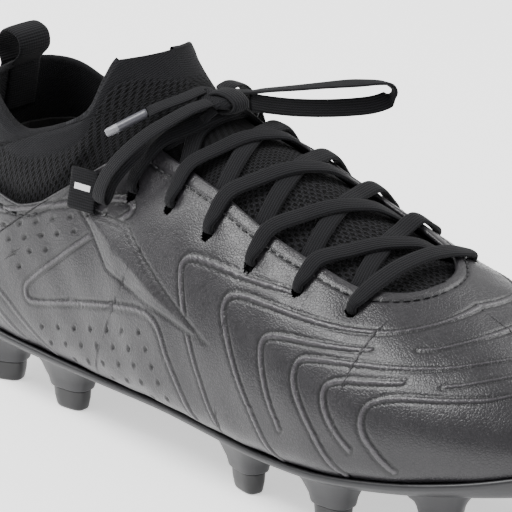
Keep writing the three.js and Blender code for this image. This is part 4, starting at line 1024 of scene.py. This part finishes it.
# Near the tongue a section meets the collar line twice: the ankle is cut off between, and the tongue stands
# over it. Both sheets get a row just before and just after the place where the cut ends.
def still_cut(u, side):
    climbs = np.linspace(0, math.pi, 600)
    return bool((collar_rule(last_point(np.full(600, u), side_angle(side, climbs))) > 0).any())


cut_end = {}
for word, side in SIDES.items():
    low_u, high_u = float(knit_us[0]), U_END
    for _ in range(40):
        middle = (low_u + high_u) / 2
        low_u, high_u = (middle, high_u) if still_cut(middle, side) else (low_u, middle)
    cut_end[side] = low_u
crest_values = collar_rule(last_point(heel_us, math.pi / 2))
tongue_start = float(heel_us[np.flatnonzero(crest_values > 0)[-1] + 1])
extra = [u + shift for u in cut_end.values() for shift in (-1e-4, 1e-4)]
knit_us = np.sort(np.concatenate([knit_us, extra]))
tongue_us = np.sort(np.concatenate([even_rows(tongue_start, max(cut_end.values()), 0.9), extra]))


# %% Cut the sock
def knit_edges(side):
    high = climb_to(side, collar_rule, knit_us)
    high[knit_us > cut_end[side]] = math.pi
    return np.zeros(len(knit_us)), high


def tongue_edges(side):
    low = climb_down(side, collar_rule, np.minimum(tongue_us, cut_end[side] - 1e-4))
    low[tongue_us > cut_end[side] + 2e-4] = math.pi
    return low, np.full(len(tongue_us), math.pi)


def knit_outer(points, side):
    x, y, z = np.moveaxis(points, -1, 0)
    leather_top = np.interp(x, LEATHER_LINE[:, 0], LEATHER_LINE[:, 1])
    collar_top = np.interp(x, COLLAR_LINE[:, 0], COLLAR_LINE[:, 1]) - y * math.tan(COLLAR_TILT)
    above = smoothstep(z - leather_top, 1.5, 7.5) * (1 - smoothstep(x, 70, 84))
    rolled = 1 - 0.75 * smoothstep(z, collar_top - 2.4, collar_top + 0.2)
    return KNIT_OUT + COLLAR_SWELL * above * rolled


def knit_relief(points, u, girth, side):
    x, y, z = np.moveaxis(points, -1, 0)
    collar_top = np.interp(x, COLLAR_LINE[:, 0], COLLAR_LINE[:, 1]) - y * math.tan(COLLAR_TILT)
    below = np.clip(collar_top - z, 0, 60)
    seam = -0.35 * np.exp(-(((below - 8.6) / 0.9) ** 2)) * (x < 84)
    folds = 0.25 * np.sin(0.21 * x + 0.35 * z) * smoothstep(60 - x, 0, 20)
    return seam + folds, below


sock = shell_piece("knit_sock", knit_us, knit_edges, {"lateral": 120, "medial": 120}, knit_outer, KNIT_IN,
                   relief=knit_relief)
tongue = shell_piece("tongue_top", tongue_us, tongue_edges, {"lateral": 60, "medial": 60}, knit_outer, KNIT_IN,
                     relief=knit_relief, close_low=True)
with bpy.context.temp_override(active_object=sock, selected_editable_objects=[sock, tongue]):
    bpy.ops.object.join()
sock.data.materials.append(KNIT)
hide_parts("knit_bootie")
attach(sock, "shoe")
print("knitted sock has", len(sock.data.vertices), "vertices")

# %% [markdown]
# ## The moulded plate and its studs
# The plate cups the sole. Its ribs stand out of the mould face, so they lift the outer face only. The stud
# necks are moulded in one with the plate, and their walls flare into it as a mould needs. The hard tips are
# separate shots of a harder plastic, coloured darker than the plate, partly as painted shade.

# %% Plate
PLATE_OUT, PLATE_IN, PLATE_DROP, RIB_LIFT, RIB_HALF = 2.25, 0.35, 1.0, 1.6, 2.0
RIBS = [((0.1, -9), (0.6, -15)), ((0.1, 8), (0.6, 13)), ((0.2, -9), (0.4, 9)), ((0.2, 9), (0.4, -9)),
        ((0.4, -11), (0.6, 12)), ((0.4, 11), (0.6, -14)), ((0.6, -15), (0.82, 2)), ((0.6, 13), (0.82, 2))]
on_heel_line = rand_rule()(centre_line[heel_us < 5.3])
plate_start = float(heel_us[np.flatnonzero(on_heel_line <= 0)[0]])
plate_us = even_rows(plate_start, U_END + 1, 1.2, climbs=(0.0, 0.6, 1.0))


def plate_edges(side):
    return np.zeros(len(plate_us)), climb_to(side, rand_rule(), plate_us)


def plate_relief(points, u, girth, side):
    x, y, _ = np.moveaxis(points, -1, 0)
    plan = np.stack([x, y], -1)
    lift = np.zeros(x.shape)
    for a, b in RIBS:
        run = np.array([(a[0] * SHOE_LENGTH, a[1]), (b[0] * SHOE_LENGTH, b[1])])
        lift = np.maximum(lift, RIB_LIFT * (1 - smoothstep(distance_to(plan, run), RIB_HALF - 0.5, RIB_HALF + 0.4)))
    return lift * smoothstep(np.abs(girth) * -1, -34, -26), np.zeros(x.shape)


plate = shell_piece("tpu_plate", plate_us, plate_edges, {"lateral": 70, "medial": 70}, PLATE_OUT, PLATE_IN,
                    relief=plate_relief, drop=PLATE_DROP)

# %% [markdown]
# **Studs.** Each stud is a blade with a squared outline that tapers to the ground. Its foot flares along the
# plate's underside, so that the mould fills it and the stud doesn't snap off.

# %% Studs
STUDS = {"heel_lateral_rear": (0.098, -20.5, 14.5, 9.5, 22), "heel_medial_rear": (0.098, 19.5, 14.5, 9.5, -22),
         "heel_lateral_front": (0.222, -23.5, 15, 9, 4), "heel_medial_front": (0.222, 21.5, 15, 9, -4),
         "forefoot_lateral_rear": (0.548, -33, 14.5, 9, -14), "forefoot_medial_rear": (0.572, 28, 14.5, 9, 20),
         "forefoot_lateral_mid": (0.69, -35.5, 14.5, 9, 4), "forefoot_medial_mid": (0.705, 35, 14.5, 9, 6),
         "forefoot_lateral_front": (0.822, -26, 13.5, 8.5, 26),
         "forefoot_medial_front": (0.835, 33, 13.5, 8.5, -18), "forefoot_centre": (0.752, 2, 11, 8.5, 0)}
TIP_SHARE, STUD_SIDES, STUD_HEIGHT = 0.56, 56, 13.0


def blade_ring(place, length, width, z, turn):
    """A blade's outline at one height: a squared ellipse, turned to its bearing."""
    t = 2 * math.pi * np.arange(STUD_SIDES) / STUD_SIDES
    a = np.sign(np.cos(t)) * np.abs(np.cos(t)) ** 0.65 * length / 2
    b = np.sign(np.sin(t)) * np.abs(np.sin(t)) ** 0.65 * width / 2
    c, s = math.cos(math.radians(turn)), math.sin(math.radians(turn))
    return np.stack([place[0] + a * c - b * s, place[1] + a * s + b * c, np.full(t.shape, z)], 1)


def stacked(rings, first=0, cap_low=True, cap_high=True):
    count = rings[0].shape[0]
    quads = [(first + i * count + k, first + i * count + (k + 1) % count, first + (i + 1) * count + (k + 1) % count,
              first + (i + 1) * count + k) for i in range(len(rings) - 1) for k in range(count)]
    if cap_low:
        quads.append(tuple(first + k for k in range(count - 1, -1, -1)))
    if cap_high:
        quads.append(tuple(first + (len(rings) - 1) * count + k for k in range(count)))
    return np.concatenate(rings), quads


# The plate curves up towards its edge, so a neck's flared foot follows the plate's own underside.
u_low, climb_low = np.meshgrid(np.linspace(5, U_END, 260), np.linspace(-1.45, 1.45, 200), indexing="ij")
under_grid = offset_point(u_low, -math.pi / 2 + climb_low, PLATE_OUT, PLATE_DROP).reshape(-1, 3)
under_grid = under_grid[under_grid[:, 2] < SOLE_Z + 25]


def under_plate(ring):
    away = ((ring[:, None, :2] - under_grid[None, :, :2]) ** 2).sum(-1)
    return under_grid[away.argmin(1), 2]


neck_points, neck_faces, tips = [], [], []
for word, (share, y, length, width, turn) in STUDS.items():
    x = share * SHOE_LENGTH
    plate_z = float(sole_height(x)) - PLATE_OUT - PLATE_DROP
    foot = 0.0 if plate_z - STUD_HEIGHT < 1 else plate_z - STUD_HEIGHT
    split = foot + TIP_SHARE * (plate_z - foot)
    rings = [blade_ring((x, y), length * 0.9 + grow, width * 0.9 + grow, z, turn)
             for z, grow in ((split + 0.3, 1.5), (split + 0.7, 1.9), ((split + plate_z) / 2 + 0.3, 3.0),
                             (plate_z - 0.8, 4.6), (plate_z + 0.2, 7.0), (plate_z + 1.2, 9.6))]
    for ring, sink in ((rings[-2], -0.9), (rings[-1], 0.5)):
        ring[:, 2] = np.maximum(ring[:, 2], under_plate(ring) + sink)
    made, quads = stacked(rings, first=sum(len(p) for p in neck_points), cap_high=False)
    neck_points.append(made)
    neck_faces += quads
    shape = ((0.52, 0.44, 0.0), (0.66, 0.58, 0.05), (0.74, 0.67, 0.4), (0.785, 0.725, 1.1), (0.86, 0.84, 0.55),
             (0.89, 0.885, 0.93), (0.9, 0.9, 1.0))
    rings = []
    for i, (a, b, level) in enumerate(shape):
        z = foot + (level if i < 4 else level * (split - foot))
        rings.append(blade_ring((x, y), length * a, width * b, z, turn))
    rings.sort(key=lambda ring: ring[0, 2])
    made, quads = stacked(rings)
    tip = make_mesh("tip_" + word, made, quads, weld=0)
    tip.data.materials.append(TIP_TPU)
    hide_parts("stud_" + word)
    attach(tip, "shoe")
    tips.append(tip)
necks = make_mesh("stud_necks", np.concatenate(neck_points), neck_faces, weld=0)
with bpy.context.temp_override(active_object=plate, selected_editable_objects=[plate, necks]):
    bpy.ops.object.join()
plate.data.materials.append(PLATE_TPU)
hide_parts("outsole_plate")
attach(plate, "shoe")
print(len(tips), "stud tips and one plate with", len(plate.data.vertices), "vertices")

# %% [markdown]
# ## Stitching
# A lockstitch runs along the folded edge of the leather, about 3 mm in from the throat and from the top line.
# Each stitch is a short thread 2.2 mm long with a millimetre between, sunk in the seam's groove.

# %% Stitching
STITCH_LENGTH, STITCH_GAP, THREAD_RADIUS = 2.3, 1.0, 0.33


def seam_points(kind, side):
    """The seam's line on the leather, with the way the leather faces at each point."""
    if kind == "throat":
        plan = THROAT_LINE[(THROAT_LINE[:, 0] > 88)] * [1, side]
        run = unit(np.gradient(plan, axis=0))
        out = np.stack([-run[:, 1], run[:, 0]], 1) * side
        line = plan + out * STITCH_INSET
        line = line[line[:, 1] * side > -0.4][::3]
        found = [over(x, y, -0.12) for x, y in line]
        return np.array([p for p, _ in found]), np.array([n for _, n in found])
    us = leather_us[::3]
    climb = climb_to(side, lambda p: leather_rule(p + np.array([0, 0, STITCH_INSET])), us)
    place = last_point(us, side_angle(side, climb))
    keep = (place[:, 0] < 80) & (climb < 3) & (climb > 0.02)
    normal = last_normal(us, side_angle(side, climb))
    return (place - 0.12 * normal)[keep], normal[keep]


thread_points, thread_faces = [], []
for kind in ("throat", "top"):
    for side in (-1, 1):
        line, normals = seam_points(kind, side)
        run = np.concatenate([[0], np.cumsum(np.linalg.norm(np.diff(line, axis=0), axis=1))])
        for begin in np.arange(0.5, run[-1] - STITCH_LENGTH, STITCH_LENGTH + STITCH_GAP):
            at = begin + STITCH_LENGTH * np.array([0, 0.12, 0.5, 0.88, 1.0])
            middle = np.stack([np.interp(at, run, line[:, k]) for k in range(3)], 1)
            facing = unit(np.stack([np.interp(at, run, normals[:, k]) for k in range(3)], 1))
            middle += facing * (np.array([-0.3, 0, 0.1, 0, -0.3]) * 0.9)[:, None]
            way = unit(middle[-1] - middle[0])
            edge = np.cross(facing, way)
            turn = 2 * math.pi * np.arange(8) / 8
            radius = THREAD_RADIUS * np.array([0.5, 0.95, 1.0, 0.95, 0.5])
            rings = [m + r * (np.cos(turn)[:, None] * e + np.sin(turn)[:, None] * f)
                     for m, r, e, f in zip(middle, radius, edge, facing)]
            made, quads = stacked(rings, first=sum(len(p) for p in thread_points))
            thread_points.append(made)
            thread_faces += quads
thread = make_mesh("edge_stitching", np.concatenate(thread_points), thread_faces, weld=0)
THREAD = moulded("bonded_nylon_sewing_thread", "#111113", "#1d1d20", 0.6, 0.3, 0.05)
thread.data.materials.append(THREAD)
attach(thread, "shoe")
print(len(thread_points), "stitches")

# %% [markdown]
# ## The lacing
# One lace goes down from the knot, in and out of six pairs of eyelets, and back. It lies flat on the leather
# and the tongue and bunches where it goes through an eyelet. Strands that end on the outer side lie on top.

# %% Lacing
LACE_UNDER, LACE_OVER, LACE_ON_TONGUE, LACE_ON_LACE, LACE_IN_HOLE = -2.7, 0.95, -2.1, -0.75, 3.3
HOLE_RUN, EXIT_SHIFT, BOW_X, BOW_Y = 3.2, -4.0, 0.388 * SHOE_LENGTH, 2.0
PUFFED = 1.75


def lace_knot(x, y, offset, width=LACE_WIDTH, thick=PUFFED):
    place, facing = over(x, y, offset)
    return [*place, *facing, width, thick]


def through_eyelet(side, row):
    x, y = eyelet(side, row)
    exit_x = x + EXIT_SHIFT

    def edge(at):
        return side * float(throat_half(at))

    return [lace_knot(x, edge(x) - side * 1.5, LACE_OVER + 0.5),
            lace_knot(x, y - side * HOLE_RUN, LACE_OVER + 0.45, LACE_WIDTH * 0.84),
            lace_knot(x, y - side * 0.4, LACE_OVER + 0.2, LACE_IN_HOLE, 2.4),
            lace_knot(x, y, (LACE_OVER + LACE_UNDER) / 2, LACE_IN_HOLE, 2.4),
            lace_knot(x, y - side * 0.6, LACE_UNDER, LACE_IN_HOLE, 1.2),
            lace_knot(x + EXIT_SHIFT / 2, y - side * HOLE_RUN, LACE_UNDER, LACE_WIDTH * 0.8, 1.2),
            lace_knot(exit_x, edge(exit_x) + side * 1.5, LACE_UNDER, LACE_WIDTH, 1.3),
            lace_knot(exit_x - 1, edge(exit_x) - side * 3, LACE_ON_TONGUE, LACE_WIDTH, 1.6)]


def crossing(from_side, from_row, to_row):
    start_x, end_x = eyelet(from_side, from_row)[0] + EXIT_SHIFT, eyelet(-from_side, to_row)[0]
    height = LACE_ON_LACE if from_side > 0 else LACE_ON_TONGUE
    made = []
    for share in (0.24, 0.42, 0.58, 0.76):
        x = start_x + (end_x - start_x) * share
        made.append(lace_knot(x, (from_side - 2 * from_side * share) * float(throat_half(x)), height))
    return made


def lacing_half(side):
    path = []
    for row in range(EYELET_ROWS - 1, -1, -1):
        path += through_eyelet(side, row)
        if row:
            path += crossing(side, row, row - 1)
        side = -side
    return path


def to_bow(side):
    return [lace_knot(BOW_X - 16.5, BOW_Y + side * 12.5, LACE_ON_TONGUE + 0.2),
            lace_knot(BOW_X - 12, BOW_Y + side * 9.6, LACE_ON_TONGUE + 0.8, LACE_WIDTH * 0.8),
            lace_knot(BOW_X - 8, BOW_Y + side * 7.6, LACE_ON_LACE + 1.2, LACE_IN_HOLE),
            lace_knot(BOW_X - 5, BOW_Y + side * 4.6, LACE_ON_LACE + 2.6, LACE_IN_HOLE)]


last_x = eyelet(-1, EYELET_ROWS - 1)[0]
bar = [lace_knot(last_x, (2 * share - 1) * float(throat_half(last_x)), LACE_OVER + 0.6)
       for share in (0.25, 0.42, 0.58, 0.75)]
route = np.array(to_bow(1)[::-1] + lacing_half(-1)[::-1] + bar + lacing_half(1) + to_bow(-1))
lacing, lacing_line = swept_band("lacing", route[:, :3], route[:, 3:6], route[:, 6], route[:, 7],
                                 step=0.6)
lacing.data.materials.append(LACE)
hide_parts("lace")
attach(lacing, "shoe")
print("lacing is", round(float(np.linalg.norm(np.diff(lacing_line, axis=0), axis=1).sum())), "mm of lace")

# %% Knot
# The knot: two turns of lace pulled tight round the crossing strands.
KNOT_X, KNOT_Y, KNOT_Z = 7.2, 5.4, 3.7
t = np.linspace(-0.55 * math.pi, 1.5 * math.pi, 26)
wrap_points = KNOT + np.stack([(KNOT_X - 0.9) * np.cos(t), np.linspace(-0.9, 0.9, 26), (KNOT_Z - 0.8) * np.sin(t)], 1)
wrap_faces = np.stack([np.cos(t), 0 * t, 1.4 * np.sin(t)], 1)
wrap, _ = swept_band("knot", wrap_points, unit(wrap_faces), [7.0] * 26, [1.7] * 26, step=0.4)
strands = []
for dz, tilt in ((0.9, 0.35), (-1.1, -0.3)):
    across = np.linspace(-KNOT_Y, KNOT_Y, 9)
    line = KNOT + np.stack([tilt * across, across, dz - 0.05 * across ** 2 * np.sign(dz)], 1)
    strand, _ = swept_band("strand", line, [(0.0, 0.0, 1.0)] * 9, 5.6 + 3.6 * np.cos(across / KNOT_Y * 1.3), [2.6] * 9,
                           step=0.4)
    strands.append(strand)
with bpy.context.temp_override(active_object=wrap, selected_editable_objects=[wrap] + strands):
    bpy.ops.object.join()
wrap.data.materials.append(LACE)
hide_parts("lace_knot")
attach(wrap, "shoe")

# %% [markdown]
# The bows ride with the shoe, and each gets a crimped tip on its end.

# %% Lace tips, and the bows put on the shoe
CLEAR_LENGTH = 4.5
for word, (piece, centre) in bows.items():
    along = unit(centre[-1] - centre[-4])
    side_way = unit(np.cross(along, (0.3, 0.2, 1.0)))
    other = np.cross(along, side_way)
    turn = 2 * math.pi * np.arange(24) / 24
    profile = ((0.0, 1.35), (0.15, 1.62), (0.6, 1.7), (5, 1.68), (9.6, 1.62), (AGLET_LENGTH - CLEAR_LENGTH, 1.6),
               (AGLET_LENGTH - 2, 1.54), (AGLET_LENGTH - 0.5, 1.44), (AGLET_LENGTH, 1.15))
    rings = [centre[-1] + along * (0.3 + far) + radius * (np.cos(turn)[:, None] * side_way
                                                         + np.sin(turn)[:, None] * other * 0.94)
             for far, radius in profile]
    made, quads = stacked(rings)
    tip = make_mesh("lace_tip_" + word, made, quads, weld=0)
    tip.data.materials.append(AGLET)
    tip.data.materials.append(CLEAR_TIP)
    for face in tip.data.polygons:
        face.material_index = int(min(face.vertices) >= 5 * 24)
    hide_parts("aglet_" + word)
    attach(tip, "shoe")
    piece.data.materials.append(LACE)
    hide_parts("bow_loop_" + word, "lace_end_" + word)
    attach(piece, "shoe")
    length = float(np.linalg.norm(np.diff(centre, axis=0), axis=1).sum()) / 1000
print("knot, bows and lace tips are in place")

# %% [markdown]
# ## Ribbon trims
# The heel loop is one grosgrain tape: sewn down the outside of the collar, up and over in a free arch, and
# sewn down the inside. It leans at its foot. The flag is a ribbon folded once and sewn in where the leather
# meets the collar, with a plain woven bar.

# %% Heel loop
def ribbon(name, line, edge, width, thickness, step=0.5):
    line = smooth(np.asarray(line, float), 8 * (len(line) - 1))
    way = unit(np.gradient(line, axis=0))
    facing = unit(np.cross(way, np.broadcast_to(edge, way.shape)))
    return swept_band(name, line, facing, [width] * len(line), [thickness] * len(line), around=16, step=step)[0]


TAPE_WIDTH, TAPE_THICKNESS, TAIL_DEPTH, LOOP_RISE = 14.0, 1.2, 17.0, 12.0


def on_heel(z, offset):
    """The x of a layer at the back of the heel, at a height."""
    part = heel_us < 5.3
    layer = offset_point(heel_us[part], np.full(part.sum(), -math.pi / 2), offset)
    order = np.argsort(layer[:, 2])
    return float(np.interp(z, layer[order, 2], layer[order, 0]))


tail_heights = COLLAR_HEEL - TAIL_DEPTH * np.linspace(1, 0, 7)
outer_tail = [(on_heel(z, -1.0 - 1.1 * smoothstep(z, COLLAR_HEEL - 5, COLLAR_HEEL)), 0, z) for z in tail_heights]
inner_tail = [(on_heel(z, KNIT_IN - 1.0), 0, z) for z in tail_heights]
loop_low, loop_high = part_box("pull_tab")
low_x, high_x = to_shoe(loop_low)[0], to_shoe(loop_high)[0]
arch = [(low_x + 0.7, 0, COLLAR_HEEL + 0.4 * LOOP_RISE), (low_x + 2.2, 0, COLLAR_HEEL + 0.85 * LOOP_RISE),
        ((low_x + high_x) / 2 - 0.5, 0, COLLAR_HEEL + LOOP_RISE),
        (high_x - 1.5, 0, COLLAR_HEEL + 0.85 * LOOP_RISE), (high_x - 0.7, 0, COLLAR_HEEL + 0.42 * LOOP_RISE)]
loop = ribbon("heel_loop", outer_tail + arch + inner_tail[::-1], (0.0, 1.0, 0.0), TAPE_WIDTH, TAPE_THICKNESS)
loop.data.materials.append(RIBBON)
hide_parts("pull_tab", "pull_tab_tail_outer", "pull_tab_tail_inner")
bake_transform(loop)

# %% Flag ribbon
FLAG_WIDTH, FLAG_LEAF, GAP = 11.0, 0.8, 0.3
flag_u, flag_angle = find_over(0.262 * SHOE_LENGTH, -0.87 * HEEL_WIDTH / 2)
flag_out = last_normal(flag_u, flag_angle)
flag_along = unit(np.array([1.0, 0, 0]) - flag_out * flag_out[0])
flag_up = -np.cross(flag_along, flag_out)
flag_centre = last_point(flag_u, flag_angle) + flag_out * (GAP + 0.6 + FLAG_LEAF + GAP)
leaf = (FLAG_LEAF + GAP) * 0.62
flag_line = [(leaf + 0.25, 6.4), (leaf + 0.05, 3), (leaf, -2), (leaf, -5.4), (leaf * 0.6, -6.8), (0, -7.2),
             (-leaf * 0.6, -6.8), (-leaf, -5.4), (-leaf, 0), (-leaf, 6.2)]
flag = ribbon("flag_ribbon", [flag_centre + flag_out * a + flag_up * b for a, b in flag_line], flag_along,
              FLAG_WIDTH, FLAG_LEAF)
flag.data.materials.append(RIBBON)
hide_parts("flag_label")
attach(flag, "shoe")
bar_points = [flag_centre + flag_out * (leaf + FLAG_LEAF / 2 + 0.14 + lift) + flag_up * (b + 0.5) + flag_along * a
              for lift in (-0.2, 0.0) for a, b in ((-3.2, -1.0), (3.2, -1.0), (3.2, 1.0), (-3.2, 1.0))]
bar_piece = make_mesh("flag_woven_bar", np.array(bar_points),
                      [(4, 5, 6, 7), (0, 1, 5, 4), (1, 2, 6, 5), (2, 3, 7, 6), (3, 0, 4, 7), (3, 2, 1, 0)], weld=0,
                      smooth_faces=False)
WHITE_YARN = moulded("white_woven_yarn", "#c9c9c9", "#d8d8d8", 0.7, 0.4, 0.08)
bar_piece.data.materials.append(WHITE_YARN)
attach(bar_piece, "shoe")
print("heel loop and flag are in place")

# %% [markdown]
# ## The tongue's film patch and the hidden layers
# A thin film is pressed on the knit behind the knot. The stiffeners, the board, the lining and the sockliner
# keep their CAD shapes and get the finish of what they are made of.

# %% Tongue film
PATCH_X, PATCH_Y, PATCH_CORNER = (0.295 * SHOE_LENGTH, 0.335 * SHOE_LENGTH), (-9.0, 12.0), 2.2


def rounded_grid(xs, ys, corner, count=28):
    """A grid over a rectangle with rounded corners, in plan."""
    s, t = np.meshgrid(np.linspace(-1, 1, count), np.linspace(-1, 1, count), indexing="ij")
    half = np.array([xs[1] - xs[0], ys[1] - ys[0]]) / 2
    middle = np.array([xs[0] + xs[1], ys[0] + ys[1]]) / 2
    cx, cy = corner / half
    inset_x = cx * (1 - np.sqrt(np.clip(1 - np.clip((np.abs(t) - 1 + cy) / cy, 0, 1) ** 2, 0, 1)))
    return middle + np.stack([s * (1 - inset_x) * half[0], t * half[1]], -1)


plan = rounded_grid(PATCH_X, PATCH_Y, PATCH_CORNER)
found = [over(x, y, 0.0) for x, y in plan.reshape(-1, 2)]
on_last, facing = np.array([p for p, _ in found]), np.array([n for _, n in found])
count = plan.shape[0]
rim = np.clip(np.minimum.reduce([np.arange(count)[:, None] + 0 * plan[..., 0], count - 1 - np.arange(count)[:, None]
                                 + 0 * plan[..., 0], np.arange(count)[None] + 0 * plan[..., 0],
                                 count - 1 - np.arange(count)[None] + 0 * plan[..., 0]]), 0, 2).reshape(-1) / 2
top = on_last + facing * (KNIT_OUT - 0.2 + 0.75 * rim ** 0.5)[:, None]
patch = make_mesh("tongue_film", top, grid_faces(count, count))
patch.data.materials.append(FILM)
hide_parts("tongue_patch")
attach(patch, "shoe")


# %% Finishes of the hidden layers
def fabric(name, low, high, pitch):
    made, tree, shader = new_finish(name, Roughness=0.88, Sheen_Weight=0.1)
    where = add(tree, "ShaderNodeTexCoord").outputs["Object"]
    loops = add(tree, "ShaderNodeTexVoronoi", {"Vector": where, "Scale": 1000 / pitch})
    tree.links.new(blend_colours(tree, spread(tree, loops.outputs["Distance"], 0.1, 0.7), linear(high), linear(low)),
                   shader.inputs["Base Color"])
    tree.links.new(bump(tree, calc(tree, "SUBTRACT", 1.0, loops.outputs["Distance"]), 0.6, 0.2),
                   shader.inputs["Normal"])
    return made


HEEL_LINING = fabric("napped_microfibre_lining", "#0b0b0c", "#141416", 0.8)
SOCK_TOP = fabric("brushed_knit_over_eva_foam", "#0f0f12", "#1a1a1e", 1.1)
for node, material in (("heel_counter", STIFFENER), ("toe_puff", STIFFENER), ("insole_board", BOARD),
                       ("heel_lining", HEEL_LINING), ("sockliner", SOCK_TOP)):
    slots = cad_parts[node].data.materials
    slots.clear()
    slots.append(material)
print("hidden layers have their finishes")

# %% [markdown]
# ## Floor and light
# A plain pale floor that runs out of sight, one large soft light over the outer side, a weaker one from the
# heel, and a rim from behind. The sky is even and white, as in a light tent, and the floor's paper glows a
# little, as a backdrop lit from below does.

# %% Floor, sky and lights
FLOOR_HALF = 6.0
floor_mesh = bpy.data.meshes.new("studio_floor")
floor_mesh.from_pydata([(-FLOOR_HALF, -FLOOR_HALF, 0), (FLOOR_HALF, -FLOOR_HALF, 0), (FLOOR_HALF, FLOOR_HALF, 0),
                        (-FLOOR_HALF, FLOOR_HALF, 0)], [], [(0, 1, 2, 3)])
floor = bpy.data.objects.new("studio_floor", floor_mesh)
bpy.context.scene.collection.objects.link(floor)
paper, _, _ = new_finish("matt_white_background_paper", Roughness=0.95, Specular_IOR_Level=0.1,
                         Emission_Strength=0.9)
paper.node_tree.nodes["Principled BSDF"].inputs["Base Color"].default_value = linear("#fbfbfb")
floor_mesh.materials.append(paper)

world = bpy.data.worlds.new("light_tent")
world.use_nodes = True
bpy.context.scene.world = world
tree = world.node_tree
sky = tree.nodes["Background"]
sky.inputs["Strength"].default_value = 0.8
sky.inputs["Color"].default_value = linear("#ffffff")

LIGHTS = {"key": ((-0.3, -0.6, 1.3), 0.7, 24.0), "heel_fill": ((-1.1, -0.3, 0.8), 0.6, 6.0),
          "back_rim": ((0.3, 1.1, 1.1), 0.8, 13.0)}
for name, (place, size, power) in LIGHTS.items():
    lamp = bpy.data.lights.new(name, "AREA")
    lamp.size, lamp.energy = size, power
    holder = bpy.data.objects.new(name, lamp)
    holder.location = place
    holder.rotation_euler = (Vector((0.03, 0, 0.06)) - Vector(place)).to_track_quat("-Z", "Y").to_euler()
    bpy.context.scene.collection.objects.link(holder)
print(len(LIGHTS), "lights")
